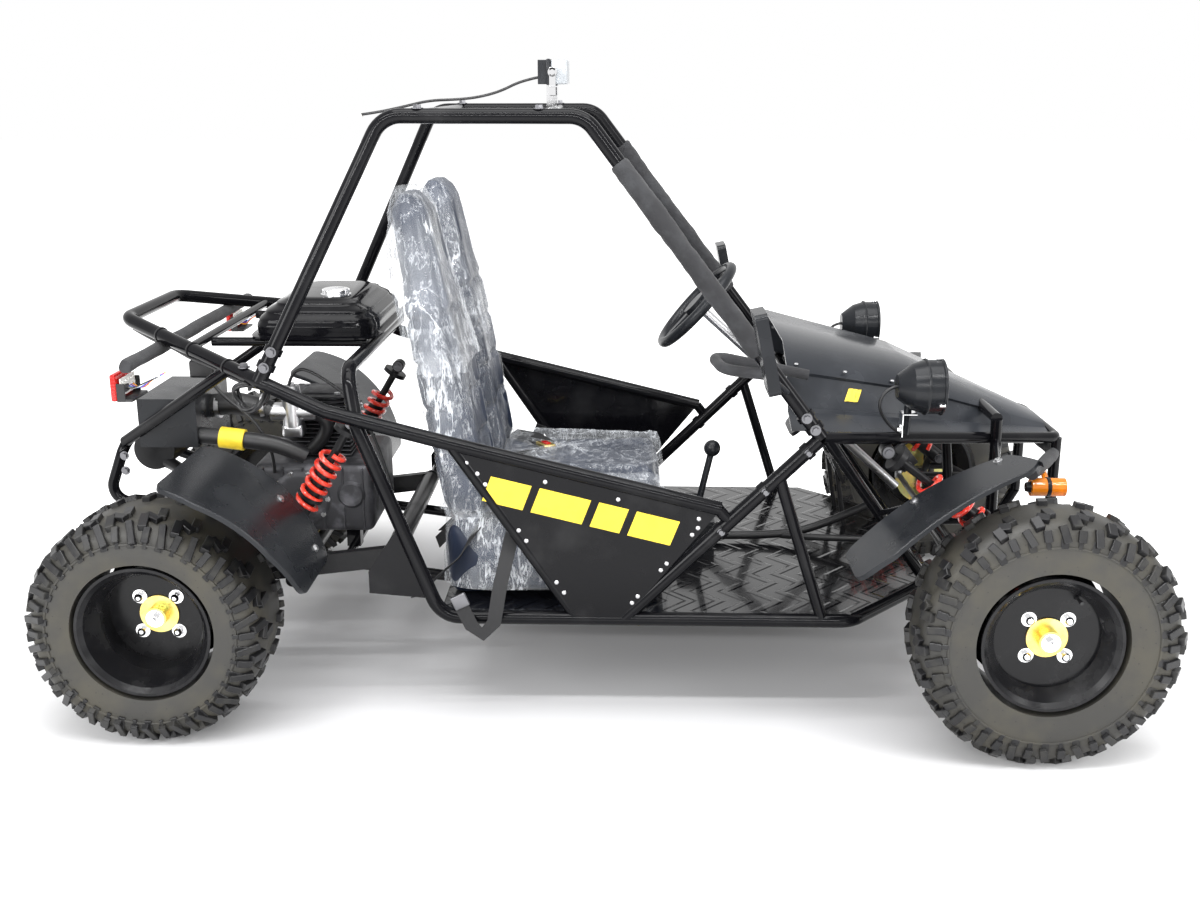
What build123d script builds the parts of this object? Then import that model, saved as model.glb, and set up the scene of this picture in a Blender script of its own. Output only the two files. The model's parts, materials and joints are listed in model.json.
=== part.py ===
from build123d import *
import math
import os

os.makedirs("parts", exist_ok=True)

# Two-seat off-road buggy: bent tube frame, live rear axle, steered front wheels.
# Millimetres. +X points forward, +Y to the left, +Z up. The origin is on the ground
# under the middle of the vehicle. Right is side -1 and left is side +1.

# Driving dimensions
WHEELBASE = 1805.0
BODY_HALF_W = 460.0          # outermost frame tubes
CAGE_H = 1256.0              # roof tube above the ground
TUBE_R = 15.0                # main frame tube
SMALL_TUBE_R = 12.5
ROD_R = 8.0
BEND_R = 60.0
TIGHT_BEND_R = 35.0
FRONT_TYRE_R = 266.5
FRONT_TYRE_W = 178.0
FRONT_TRACK_HALF = 600.0     # middle plane of a front wheel
REAR_TYRE_R = 248.0
REAR_TYRE_W = 250.0
REAR_TRACK_HALF = 505.0
RIM_R = 139.0                # flange of a ten inch rim
RIM_BEAD_R = 127.0
FIT_GAP = 0.05               # radial clearance of a running fit
SEAT_GAP = 0.3               # between a piece and what it rests on
CUT_OVER = 20.0              # overrun of every cut
SHEET = 3.0                  # steel and plastic sheet

REAR_AXLE_X = -(WHEELBASE + FRONT_TYRE_R - REAR_TYRE_R) / 2
FRONT_AXLE_X = REAR_AXLE_X + WHEELBASE
SIDES = (("right", -1), ("left", 1))

# Frame points: x from the rear axle as a share of the wheelbase, y as a share of the
# body's half width, z as a share of the cage's height.
POINT_SHARES = {
    "low_rear": (0.324, 0.989, 0.182),
    "low_front": (0.803, 0.989, 0.180),
    "low_toe": (0.926, 0.467, 0.182),
    "low_nose": (1.062, 0.370, 0.200),
    "b_mid": (0.235, 0.989, 0.510),
    "b_top": (0.222, 0.900, 0.598),
    "rack_corner": (-0.0765, 0.365, 0.649),
    "hoop_foot": (0.127, 0.978, 0.585),
    "rail_bend": (0.200, 1.000, 0.538),
    "panel_rear": (0.341, 1.000, 0.485),
    "panel_front": (0.648, 1.000, 0.377),
    "panel_low": (0.484, 0.989, 0.182),
    "brace_low": (0.538, 0.989, 0.182),
    "dash": (0.760, 0.989, 0.497),
    "post_top": (0.712, 0.989, 0.440),
    "post_low": (0.770, 0.989, 0.180),
    "roof_rear": (0.2687, 0.783, 1.000),
    "roof_front": (0.493, 0.870, 1.000),
    "roof_cross_rear": (0.308, 0.790, 1.000),
    "roof_cross_front": (0.446, 0.850, 1.000),
    "nose": (1.080, 0.300, 0.434),
    "nose_low": (1.080, 0.300, 0.270),
    "bar_end": (1.022, 0.690, 0.434),
    "toe": (0.918, 0.500, 0.182),
    "tank_front": (0.222, 0.500, 0.598),
    "tank_rear": (0.020, 0.500, 0.618),
    "cradle_front": (0.325, 0.480, 0.182),
    "cradle_bend": (0.060, 0.480, 0.235),
    "tail_low": (-0.112, 0.435, 0.330),
    "tail_top": (-0.086, 0.435, 0.430),
    "tail_foot": (0.070, 0.680, 0.615),
    "tower_foot": (1.000, 0.400, 0.190),
    "tower_top": (0.985, 0.560, 0.492),
    "bar_rest": (0.135, 0.978, 0.650),
}


def at(name, side=1):
    share_x, share_y, share_z = POINT_SHARES[name]
    return Vector(
        REAR_AXLE_X + share_x * WHEELBASE,
        side * share_y * BODY_HALF_W,
        share_z * CAGE_H,
    )


def between(start, end, share):
    return start + (end - start) * share


def rod(start, end, radius):
    run = end - start
    place = Plane(origin=between(start, end, 1 / 2), z_dir=run)
    return place * Cylinder(radius, run.length)


def bent(points, radius, bend=BEND_R):
    path = FilletPolyline(*points, radius=bend)
    section = Plane(origin=path @ 0, z_dir=path % 0) * Circle(radius)
    return sweep(section, path=path)


def mirrored(names):
    right = [at(name, -1) for name in names]
    left = [at(name, 1) for name in names]
    return right + left[::-1]


def fuse(pieces):
    first, *rest = pieces
    return first + rest if rest else first


def lathe(profile, centre, side):
    """A turned piece about a lateral axis: profile points are (radius, outward offset)."""
    face = Plane.XY * make_face(Polyline(*profile, close=True))
    turned = revolve(face, Axis.Y)
    return Pos(centre.X, centre.Y, centre.Z) * (turned if side > 0 else mirror(turned, Plane.XZ))


def largest(shape):
    return max(shape.solids(), key=lambda solid: solid.volume)


def save(shape, name):
    export_step(shape, f"parts/{name}.step")
    return shape


# Lower frame: one side tube from the nose, back under the sill and up behind the seats
FLOOR_CROSS_SHARES = (0.340, 0.560, 0.800)   # cross tubes under the floor, over the wheelbase


def lower_frame():
    names = ("low_nose", "low_toe", "low_front", "low_rear", "b_mid", "b_top")
    right = [at(name, -1) for name in names]
    left = [at(name, 1) for name in names]
    loop = bent(right + left[::-1], TUBE_R)
    pieces = [loop, rod(at("low_nose", -1), at("low_nose"), TUBE_R)]
    sill = at("low_front")
    for share in FLOOR_CROSS_SHARES:
        x = REAR_AXLE_X + share * WHEELBASE
        pieces.append(rod(Vector(x, -sill.Y, sill.Z), Vector(x, sill.Y, sill.Z), SMALL_TUBE_R))
    return fuse(pieces)


# Side frames: rail from the rack down to the panel's front corner, brace, post, panel edge
RAIL_START_SHARE = 0.9       # where the rail takes over from the rack's leg
DIAGONAL_START_SHARE = 0.02


def side_frame(side, lower):
    names = ("rack_corner", "hoop_foot", "rail_bend", "panel_rear", "panel_front")
    start = between(at("rack_corner", side), at("hoop_foot", side), RAIL_START_SHARE)
    rail = bent([start] + [at(name, side) for name in names[1:]], TUBE_R)
    brace = rod(at("brace_low", side), at("dash", side), TUBE_R)
    post = rod(at("post_low", side), at("post_top", side), SMALL_TUBE_R)
    edge = rod(at("panel_rear", side), at("panel_low", side), SMALL_TUBE_R)
    return largest(fuse([rail, brace, post, edge]) - lower)


# Rear rack: one bent tube between the side frames
def rear_rack():
    start_r = between(at("rack_corner", -1), at("hoop_foot", -1), RAIL_START_SHARE)
    start_l = between(at("rack_corner"), at("hoop_foot"), RAIL_START_SHARE)
    return bent([start_r, at("rack_corner", -1), at("rack_corner"), start_l], TUBE_R)


# Cage: two side hoops joined by two cross tubes
def cage_hoop(side, frame):
    names = ("hoop_foot", "roof_rear", "roof_front", "dash")
    return largest(bent([at(name, side) for name in names], TUBE_R, BEND_R) - frame)


def cage_cross(hoops):
    pieces = []
    for name in ("roof_cross_rear", "roof_cross_front"):
        pieces.append(rod(at(name, -1), at(name), SMALL_TUBE_R))
    return [piece - hoops for piece in pieces]


# Front frame: hood rails, nose posts, bumper bar, diagonals and shock towers
def front_frame(others):
    rails = bent(mirrored(("dash", "nose")), SMALL_TUBE_R, TIGHT_BEND_R)
    pieces = [rails]
    for _, side in SIDES:
        pieces.append(rod(at("nose", side), at("nose_low", side), SMALL_TUBE_R))
        pieces.append(rod(at("nose_low", side), at("low_nose", side), SMALL_TUBE_R))
        start = between(at("dash", side), at("nose", side), DIAGONAL_START_SHARE)
        pieces.append(rod(start, at("toe", side), SMALL_TUBE_R))
        pieces.append(rod(at("tower_foot", side), at("tower_top", side), SMALL_TUBE_R))
    pieces.append(rod(at("tower_top", -1), at("tower_top"), SMALL_TUBE_R))
    pieces.append(rod(at("dash", -1), at("dash"), SMALL_TUBE_R))
    return fuse(pieces) - others


# Wheels
DISC_T = 4.0
RIM_WALL = 3.0
RIM_LIP = 6.0
RIM_DROP = 22.0
LUG_COUNT = 20
LUG_H = 9.0
LUG_ANGLE = 12.0
SHOULDER_SHARE = 0.78        # of half the tyre's width
BULGE_SHARE = 0.52           # of the section's depth, where the side wall is widest
EDGE_SHARES = (0.14, 0.93)   # the tread's edge: of the depth, of half the width
BEAD_SHARE = 0.90            # of the bead seat's half width
LUG_W_SHARE = 0.80           # of half the width
LUG_L_SHARE = 0.52           # of the pitch between lugs
LUG_ROW_SHARE = 0.52         # of half the width, where each row lies
LIP_REACH = 1.5              # times the lip, from the rim's edge to the end of its slope
RIM_OUT_SHARES = (0.45, 0.40, 0.70)   # of half the width: inner wall, outer wall, outer ledge
RIM_IN_SHARES = (0.60, 0.50, 0.70)
STUD_COUNT = 4
QUARTER = 90.0
FULL_TURN = 360.0


def tyre(radius, width, rim_width, centre, side):
    tread_r = radius - LUG_H
    depth = tread_r - RIM_BEAD_R
    half = width / 2
    shoulder = half * SHOULDER_SHARE
    bulge_r = RIM_BEAD_R + depth * BULGE_SHARE
    edge_deep, edge_wide = EDGE_SHARES
    seat = rim_width / 2 - RIM_LIP
    profile = [
        (RIM_BEAD_R, -seat * BEAD_SHARE),
        (RIM_R, -seat),
        (bulge_r, -half),
        (tread_r - depth * edge_deep, -half * edge_wide),
        (tread_r, -shoulder),
        (tread_r, shoulder),
        (tread_r - depth * edge_deep, half * edge_wide),
        (bulge_r, half),
        (RIM_R, seat),
        (RIM_BEAD_R, seat * BEAD_SHARE),
    ]
    carcass = lathe(profile, Vector(0, 0, 0), side)
    pitch = FULL_TURN / LUG_COUNT
    lug_w = half * LUG_W_SHARE
    lug_l = 2 * math.pi * radius / LUG_COUNT * LUG_L_SHARE
    lugs = []
    for row, offset in ((-1, 0), (1, pitch / 2)):
        for index in range(LUG_COUNT):
            block = Box(lug_l, lug_w, 2 * LUG_H)
            block = Rot(0, 0, row * LUG_ANGLE) * block
            block = Pos(0, row * half * LUG_ROW_SHARE, radius - LUG_H) * block
            lugs.append(Rot(0, index * pitch + offset, 0) * block)
    body = carcass + lugs
    trim = Cylinder(radius, width * 2, rotation=(QUARTER, 0, 0))
    return Pos(centre.X, centre.Y, centre.Z) * (body & trim)


def rim(width, disc_out, hub_r, centre, side):
    half = width / 2
    drop, lip, wall = RIM_DROP, RIM_LIP, RIM_WALL
    seat = half - lip
    out_drop, out_wall, out_ledge = [half * share for share in RIM_OUT_SHARES]
    in_drop, in_wall, in_ledge = [half * share for share in RIM_IN_SHARES]
    profile = [
        (RIM_R, seat),
        (RIM_R, half),
        (RIM_R - lip, half),
        (RIM_BEAD_R - wall, half - lip * LIP_REACH),
        (RIM_BEAD_R - drop, out_drop),
        (RIM_BEAD_R - drop, disc_out),
        (hub_r, disc_out),
        (hub_r, disc_out - DISC_T),
        (RIM_BEAD_R - drop, disc_out - DISC_T),
        (RIM_BEAD_R - drop, -in_drop),
        (RIM_BEAD_R - wall, -half + lip * LIP_REACH),
        (RIM_R - lip, -half),
        (RIM_R, -half),
        (RIM_R, -seat),
        (RIM_BEAD_R, -seat * BEAD_SHARE),
        (RIM_BEAD_R, -in_ledge),
        (RIM_BEAD_R - drop + wall, -in_wall),
        (RIM_BEAD_R - drop + wall, out_wall),
        (RIM_BEAD_R, out_ledge),
        (RIM_BEAD_R, seat * BEAD_SHARE),
    ]
    return lathe(profile, centre, side)


# Front wheel carriers
KINGPIN_Y = 452.0
PIN_R = 8.0
BOSS_R = 16.0
LOW_BOSS_H = 28.0
TOP_BOSS_H = 20.0
LOW_BALL_Z = 198.0
TOP_BALL_Z = 335.0
KNUCKLE_R = 15.0
STUB_R = 12.5
HUB_R = 30.0
PILOT_R = 41.0
NOSE_R = 22.0
STUD_R = 6.0
STUD_CIRCLE_R = 54.0
STUD_OUT = 16.0
FRONT_RIM_W = 142.0
REAR_RIM_W = 198.0
FRONT_DISC_OUT = 25.0        # wheel disc's outer face from the wheel's middle plane
REAR_DISC_OUT = -8.0
HUB_FLANGE_R = 64.0
HUB_FLANGE_T = 6.0
HUB_NOSE_OUT = 28.0
BRAKE_R = 80.0
BRAKE_T = 4.0
FRONT_HUB_IN = -104.0        # inner end of the front hub from the wheel's middle plane
REAR_HUB_IN = -60.0
AXLE_R = 15.0
ARM_R = 9.0
BUSH_R = 13.0
BUSH_L = 44.0
STEER_ARM_L = 90.0
STEER_ARM_Z = 300.0
STEER_ARM_T = 8.0
STEER_ARM_W = 24.0


def wheel_centre(front, side):
    if front:
        return Vector(FRONT_AXLE_X, side * FRONT_TRACK_HALF, FRONT_TYRE_R)
    return Vector(REAR_AXLE_X, side * REAR_TRACK_HALF, REAR_TYRE_R)


def hub(centre, side, disc_out, inner_end, bore_r, brake_at=None):
    flange_in = disc_out - DISC_T - HUB_FLANGE_T
    profile = [(bore_r, inner_end)]
    if brake_at is not None:
        profile += [
            (BRAKE_R, inner_end),
            (BRAKE_R, inner_end + BRAKE_T),
            (HUB_R, inner_end + BRAKE_T),
        ]
    else:
        profile += [(HUB_R, inner_end)]
    profile += [
        (HUB_R, flange_in),
        (HUB_FLANGE_R, flange_in),
        (HUB_FLANGE_R, disc_out - DISC_T),
        (PILOT_R, disc_out - DISC_T),
        (PILOT_R, disc_out + DISC_T),
        (NOSE_R, disc_out + DISC_T),
        (NOSE_R, disc_out + HUB_NOSE_OUT),
        (bore_r, disc_out + HUB_NOSE_OUT),
    ]
    body = lathe(profile, centre, side)
    studs = []
    for index in range(STUD_COUNT):
        angle = math.radians(QUARTER / 2 + QUARTER * index)
        out = disc_out - DISC_T + STUD_OUT / 2
        stud = Pos(
            centre.X + STUD_CIRCLE_R * math.cos(angle),
            centre.Y + side * out,
            centre.Z + STUD_CIRCLE_R * math.sin(angle),
        ) * Cylinder(STUD_R, STUD_OUT, rotation=(QUARTER, 0, 0))
        studs.append(stud)
    return body + studs


def stud_holes(centre, side):
    holes = []
    for index in range(STUD_COUNT):
        angle = math.radians(QUARTER / 2 + QUARTER * index)
        holes.append(
            Pos(
                centre.X + STUD_CIRCLE_R * math.cos(angle),
                centre.Y,
                centre.Z + STUD_CIRCLE_R * math.sin(angle),
            ) * Cylinder(STUD_R, 2 * REAR_RIM_W, rotation=(QUARTER, 0, 0))
        )
    return holes


def knuckle(side):
    centre = wheel_centre(True, side)
    pin_y = side * KINGPIN_Y
    low = LOW_BALL_Z + LOW_BOSS_H / 2 + SEAT_GAP
    high = TOP_BALL_Z - TOP_BOSS_H / 2 - SEAT_GAP
    post = rod(Vector(FRONT_AXLE_X, pin_y, low), Vector(FRONT_AXLE_X, pin_y, high), KNUCKLE_R)
    pin = rod(
        Vector(FRONT_AXLE_X, pin_y, LOW_BALL_Z - LOW_BOSS_H / 2),
        Vector(FRONT_AXLE_X, pin_y, TOP_BALL_Z + TOP_BOSS_H / 2),
        PIN_R,
    )
    end = centre.Y + side * (FRONT_DISC_OUT + HUB_NOSE_OUT)
    stub = rod(Vector(FRONT_AXLE_X, pin_y, centre.Z), Vector(FRONT_AXLE_X, end, centre.Z), STUB_R)
    arm = Pos(
        FRONT_AXLE_X - STEER_ARM_L / 2, pin_y, STEER_ARM_Z
    ) * Box(STEER_ARM_L, STEER_ARM_W, STEER_ARM_T)
    return fuse([post, pin, stub, arm])


# Front arms: lower and upper wishbones with a boss round the kingpin
RAIL_BUSH_SHARES = (0.15, 0.85)
UPPER_BUSH_SHARE = 0.27
UPPER_BUSH_L = 150.0
SHOCK_INSET = 96.0
LEG_SPREAD_SHARE = 0.8       # of the upper bush's half length, where its legs start
REST_SHARE = 0.4             # of the same, the bar under the shock
ARM_PLAY = 1.0


def boss(side, z, height):
    place = Pos(FRONT_AXLE_X, side * KINGPIN_Y, z)
    return place * Cylinder(BOSS_R, height), place * Cylinder(PIN_R + FIT_GAP, height + CUT_OVER)


def lower_arm(side):
    toe, nose = at("low_toe", side), at("low_nose", side)
    run = (nose - toe).normalized() * (BUSH_L / 2)
    outward = run.cross(Vector(0, 0, 1)).normalized() * (-side * (TUBE_R + BUSH_R + SEAT_GAP))
    ball = Vector(FRONT_AXLE_X, side * KINGPIN_Y, LOW_BALL_Z)
    solid, bore = boss(side, LOW_BALL_Z, LOW_BOSS_H)
    pieces = [solid]
    for share in RAIL_BUSH_SHARES:
        seat = between(toe, nose, share) + outward
        pieces.append(rod(seat - run, seat + run, BUSH_R))
        pieces.append(rod(seat, ball, ARM_R))
    return fuse(pieces) - bore


def upper_arm(side):
    foot, top = at("tower_foot", side), at("tower_top", side)
    seat = between(foot, top, UPPER_BUSH_SHARE)
    seat += Vector(0, side * (SMALL_TUBE_R + BUSH_R + SEAT_GAP + ARM_PLAY), 0)
    run = Vector(UPPER_BUSH_L / 2, 0, 0)
    ball = Vector(FRONT_AXLE_X, side * KINGPIN_Y, TOP_BALL_Z)
    solid, bore = boss(side, TOP_BALL_Z, TOP_BOSS_H)
    pieces = [solid, rod(seat - run, seat + run, BUSH_R)]
    for sign in (-1, 1):
        pieces.append(rod(seat + run * sign * LEG_SPREAD_SHARE, ball, ARM_R))
    rest = Vector(FRONT_AXLE_X, side * (KINGPIN_Y - SHOCK_INSET), TOP_BALL_Z)
    pieces.append(rod(rest - run * REST_SHARE, rest + run * REST_SHARE, ARM_R))
    return fuse(pieces) - bore


# Shock absorbers: body, rod and a coil spring of round wire
SPRING_R = 30.0
SPRING_WIRE_R = 6.0
SHOCK_BODY_R = 20.0
SHOCK_ROD_R = 9.0
EYE_R = 15.0
EYE_W = 30.0
SPRING_START_SHARE = 0.10
SPRING_END_SHARE = 0.72
BODY_SHARES = (0.55, 0.90)   # of the shock: its body's end; of SHOCK_BODY_R: the body's radius
TOP_PERCH_SHARES = (0.90, 0.94)
LOW_PERCH_T = 8.0
SPRING_SEAT_SHARES = (0.012, 0.888)   # past the lower perch, and below the upper one


def shock(low, top, eye_axis):
    run = top - low
    spring_low = between(low, top, 1 - SPRING_END_SHARE)
    pieces = [
        rod(low, between(low, top, BODY_SHARES[0]), SHOCK_BODY_R * BODY_SHARES[1]),
        rod(low, top, SHOCK_ROD_R),
        rod(spring_low - run.normalized() * LOW_PERCH_T, spring_low, SPRING_R),
        rod(*[between(low, top, share) for share in TOP_PERCH_SHARES], SPRING_R),
    ]
    for end in (low, top):
        pieces.append(Plane(origin=end, z_dir=eye_axis) * Cylinder(EYE_R, EYE_W))
    return fuse(pieces)


def spring(low, top):
    run = top - low
    start = between(low, top, 1 - SPRING_END_SHARE + SPRING_SEAT_SHARES[0])
    end = between(low, top, SPRING_SEAT_SHARES[1])
    return Plane(origin=between(start, end, 0.5), z_dir=run) * (
        Cylinder(SPRING_R, (end - start).length) - Cylinder(SPRING_R - 2 * SPRING_WIRE_R, run.length)
    )


# Rear axle, swing arm and shocks
SWING_Y = 292.0
PIVOT_SHARES = (0.252, 0.243)
SWING_PIVOT = Vector(REAR_AXLE_X + PIVOT_SHARES[0] * WHEELBASE, 0, PIVOT_SHARES[1] * CAGE_H)
SHOCK_LUG_R = 12.0
SHOCK_LUG_FOOT = 30.0        # of the shock's lug above the axle
SWING_H = 44.0
SWING_T = 22.0
SWING_CROSS_SHARE = 0.5
SWING_CROSS_DROP = 33.0
HOUSING_R = 34.0
HOUSING_W = 40.0
SPROCKET_R = 92.0
SPROCKET_T = 6.0
SPROCKET_Y = 100.0
DISC_BRAKE_Y = -100.0
COLLAR_R = 30.0
REAR_SHOCK_Y = 300.0
REAR_SHOCK_LOW = (0.137, 0.307)
REAR_SHOCK_TOP = (0.212, 0.488)


def rear_shock_ends(side):
    low = Vector(
        REAR_AXLE_X + REAR_SHOCK_LOW[0] * WHEELBASE, side * REAR_SHOCK_Y, REAR_SHOCK_LOW[1] * CAGE_H
    )
    top = Vector(
        REAR_AXLE_X + REAR_SHOCK_TOP[0] * WHEELBASE, side * REAR_SHOCK_Y, REAR_SHOCK_TOP[1] * CAGE_H
    )
    return low, top


def rear_axle():
    end = REAR_TRACK_HALF + REAR_DISC_OUT + HUB_NOSE_OUT
    z = REAR_TYRE_R
    shaft = rod(Vector(REAR_AXLE_X, -end, z), Vector(REAR_AXLE_X, end, z), AXLE_R)
    sprocket = Pos(REAR_AXLE_X, SPROCKET_Y, z) * (
        Cylinder(SPROCKET_R, SPROCKET_T, rotation=(QUARTER, 0, 0))
    )
    brake = Pos(REAR_AXLE_X, DISC_BRAKE_Y, z) * Cylinder(SPROCKET_R, BRAKE_T, rotation=(QUARTER, 0, 0))
    collar = Pos(REAR_AXLE_X, 0, z) * Cylinder(
        COLLAR_R, SPROCKET_Y - DISC_BRAKE_Y + HOUSING_W, rotation=(QUARTER, 0, 0)
    )
    return fuse([shaft, sprocket, brake, collar])


def swing_arm():
    axle = Vector(REAR_AXLE_X, 0, REAR_TYRE_R)
    run = SWING_PIVOT - axle
    angle = math.degrees(math.atan2(run.Z, run.X))
    pieces = []
    for _, side in SIDES:
        middle = between(axle, SWING_PIVOT, 0.5) + Vector(0, side * SWING_Y, 0)
        beam = Pos(middle.X, middle.Y, middle.Z) * Rot(0, -angle, 0) * Box(run.length, SWING_T, SWING_H)
        housing = Pos(axle.X, side * SWING_Y, axle.Z) * Cylinder(
            HOUSING_R, HOUSING_W, rotation=(QUARTER, 0, 0)
        )
        low, _top = rear_shock_ends(side)
        lug_top = Vector(low.X, side * SWING_Y, low.Z - EYE_R - SEAT_GAP)
        lug = rod(lug_top, Vector(low.X, side * SWING_Y, axle.Z + SHOCK_LUG_FOOT), SHOCK_LUG_R)
        pieces += [beam, housing, lug]
    pieces.append(
        Pos(SWING_PIVOT.X, 0, SWING_PIVOT.Z) * Cylinder(SWING_H / 2, 2 * SWING_Y, rotation=(QUARTER, 0, 0))
    )
    cross = between(axle, SWING_PIVOT, SWING_CROSS_SHARE) - Vector(0, 0, SWING_CROSS_DROP)
    pieces.append(rod(cross - Vector(0, SWING_Y, 0), cross + Vector(0, SWING_Y, 0), TUBE_R))
    bore = Pos(axle.X, 0, axle.Z) * Cylinder(
        AXLE_R + FIT_GAP, 2 * SWING_Y + HOUSING_W + CUT_OVER, rotation=(QUARTER, 0, 0)
    )
    return fuse(pieces) - bore


# Engine bay
ENGINE_X0, ENGINE_X1 = 0.062, 0.215
ENGINE_Z0, ENGINE_Z1 = 0.245, 0.375
ENGINE_MOUNT_SHARES = (0.20, 0.80)   # cross tubes under the engine, over its length
ENGINE_LUG_Y = 100.0
ENGINE_LUG_T = 16.0
ENGINE_W = 300.0
CYLINDER_H = 150.0
CYLINDER_W = 110.0
FIN_W = 160.0
FIN_COUNT = 9
FIN_SHARES = (0.6, 0.4)      # of the pitch: a fin's middle and thickness
CRADLE_LEG_SHARE = 0.80      # along the rack's leg, where the tail hoop meets it


def rear_cradle(others):
    names = ("cradle_front", "cradle_bend", "tail_low", "tail_top")
    tube = bent(mirrored(names), SMALL_TUBE_R, TIGHT_BEND_R)
    pieces = [tube]
    for _, side in SIDES:
        leg = between(at("rack_corner", side), at("hoop_foot", side), CRADLE_LEG_SHARE)
        pieces.append(rod(at("tail_top", side), leg, SMALL_TUBE_R))
    front, rear = at("cradle_front"), at("cradle_bend")
    x0, x1 = REAR_AXLE_X + ENGINE_X0 * WHEELBASE, REAR_AXLE_X + ENGINE_X1 * WHEELBASE
    for share in ENGINE_MOUNT_SHARES:
        x = x0 + (x1 - x0) * share
        rail = between(rear, front, (x - rear.X) / (front.X - rear.X))
        pieces.append(rod(Vector(x, -rail.Y, rail.Z), Vector(x, rail.Y, rail.Z), TANK_RAIL_R))
        for _, side in SIDES:
            y = side * ENGINE_LUG_Y
            top = ENGINE_Z0 * CAGE_H - SEAT_GAP
            pieces.append(box_between(
                Vector(x - ENGINE_LUG_T, y - ENGINE_LUG_T, rail.Z),
                Vector(x + ENGINE_LUG_T, y + ENGINE_LUG_T, top),
            ))
    return fuse(pieces) - others


def box_between(low, high):
    size = high - low
    centre = between(low, high, 0.5)
    return Pos(centre.X, centre.Y, centre.Z) * Box(size.X, size.Y, size.Z)


def engine():
    low = Vector(REAR_AXLE_X + ENGINE_X0 * WHEELBASE, -ENGINE_W / 2, ENGINE_Z0 * CAGE_H)
    high = Vector(REAR_AXLE_X + ENGINE_X1 * WHEELBASE, ENGINE_W / 2, ENGINE_Z1 * CAGE_H)
    case = box_between(low, high)
    middle = between(low, high, 0.5)
    fins = []
    pitch = CYLINDER_H / FIN_COUNT
    core = Pos(middle.X, 0, high.Z + CYLINDER_H / 2) * Box(CYLINDER_W, CYLINDER_W, CYLINDER_H)
    for index in range(FIN_COUNT):
        fin = Pos(middle.X, 0, high.Z + (index + FIN_SHARES[0]) * pitch)
        fins.append(fin * Box(FIN_W, FIN_W, pitch * FIN_SHARES[1]))
    return fuse([case, core] + fins)


# Side panel: flat sheet under the upper rail
def side_panel(side, others):
    names = ("panel_rear", "panel_front", "brace_low", "panel_low")
    corners = [at(name, side) for name in names]
    face = Plane.XZ * make_face(Polyline(*[(p.X, p.Z) for p in corners], close=True))
    solid = Pos(0, side * (BODY_HALF_W + SMALL_TUBE_R / 2), 0) * extrude(face, SHEET / 2, both=True)
    return largest(solid - others)


# Floor: one sheet laid on the cross tubes
def floor_pan(others):
    names = ("low_rear", "low_front", "low_toe")
    outline = [at("low_rear", -1)] + [at(n, -1) for n in names[1:]]
    points = [(p.X, p.Y) for p in outline] + [(p.X, -p.Y) for p in outline[::-1]]
    top = at("low_front").Z + SMALL_TUBE_R + SEAT_GAP
    face = make_face(Polyline(*points, close=True))
    return Pos(0, 0, top) * extrude(face, SHEET) - others


# Seats: reclined shell with side bolsters, and a cushion
SEAT_Y = 205.0
SEAT_W = 330.0
SEAT_BASE_X = 0.350          # back of the cushion, over the wheelbase from the rear axle
SEAT_L = 480.0
CUSHION_Z0 = at("low_front").Z + SMALL_TUBE_R + SHEET + 2 * SEAT_GAP
CUSHION_T = 170.0
BACK_T = 105.0
BACK_TOP_Z = 1110.0
BACK_LEAN = 10.0
BACK_TAPER_SHARE = 0.62
BACK_THIN_SHARE = 0.35       # how much thinner the back is at its top
BACK_CORNER_R = 25.0
CUSHION_W_SHARE = 1.08
CUSHION_CORNER_R = 28.0
BACK_SHARES = (  # height share, width share
    (0.0, 0.90),
    (0.45, 1.00),
    (0.75, 0.80),
    (1.0, BACK_TAPER_SHARE),
)


def seat_back(side):
    base_x = REAR_AXLE_X + SEAT_BASE_X * WHEELBASE
    height = BACK_TOP_Z - CUSHION_Z0 - CUSHION_T
    faces = []
    for share, width in BACK_SHARES:
        lean = math.tan(math.radians(BACK_LEAN)) * height * share
        faces.append(
            Pos(base_x - lean, side * SEAT_Y, CUSHION_Z0 + CUSHION_T + SEAT_GAP + height * share)
            * RectangleRounded(BACK_T * (1.0 - BACK_THIN_SHARE * share), SEAT_W * width, BACK_CORNER_R)
        )
    return loft(faces, ruled=True)


def seat_cushion(side):
    base_x = REAR_AXLE_X + SEAT_BASE_X * WHEELBASE - BACK_T / 2
    block = Box(SEAT_L, SEAT_W * CUSHION_W_SHARE, CUSHION_T)
    block = fillet(block.edges().group_by(Axis.Z)[-1], CUSHION_CORNER_R)
    return Pos(base_x + SEAT_L / 2, side * SEAT_Y, CUSHION_Z0 + CUSHION_T / 2) * block


# Fuel tank
TANK_X0, TANK_X1 = 0.075, 0.237
TANK_HALF_W = 215.0
TANK_Z0 = 776.0
TANK_H = 82.0
TANK_RAIL_R = 10.0
TANK_INSET = 35.0
CAP_R = 34.0
CAP_H = 16.0
CAP_X_SHARE = 0.62
CAP_Y = -95.0
TANK_CORNER_R = 40.0
TANK_CHAMFER = 22.0
TANK_RAIL_X_SHARE = 0.03
TANK_LEG_SHARE = 0.50


def tank_rails(others):
    z = TANK_Z0 - TANK_RAIL_R - SEAT_GAP
    pieces = []
    for _, side in SIDES:
        front = Vector(at("b_top").X, side * (TANK_HALF_W - TANK_INSET), z)
        rear = Vector(REAR_AXLE_X + TANK_RAIL_X_SHARE * WHEELBASE, side * (TANK_HALF_W - TANK_INSET), z)
        pieces.append(rod(front, rear, TANK_RAIL_R))
    right = between(at("rack_corner", -1), at("hoop_foot", -1), TANK_LEG_SHARE)
    left = between(at("rack_corner"), at("hoop_foot"), TANK_LEG_SHARE)
    pieces.append(rod(right, left, TANK_RAIL_R))
    return fuse(pieces) - others


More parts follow.
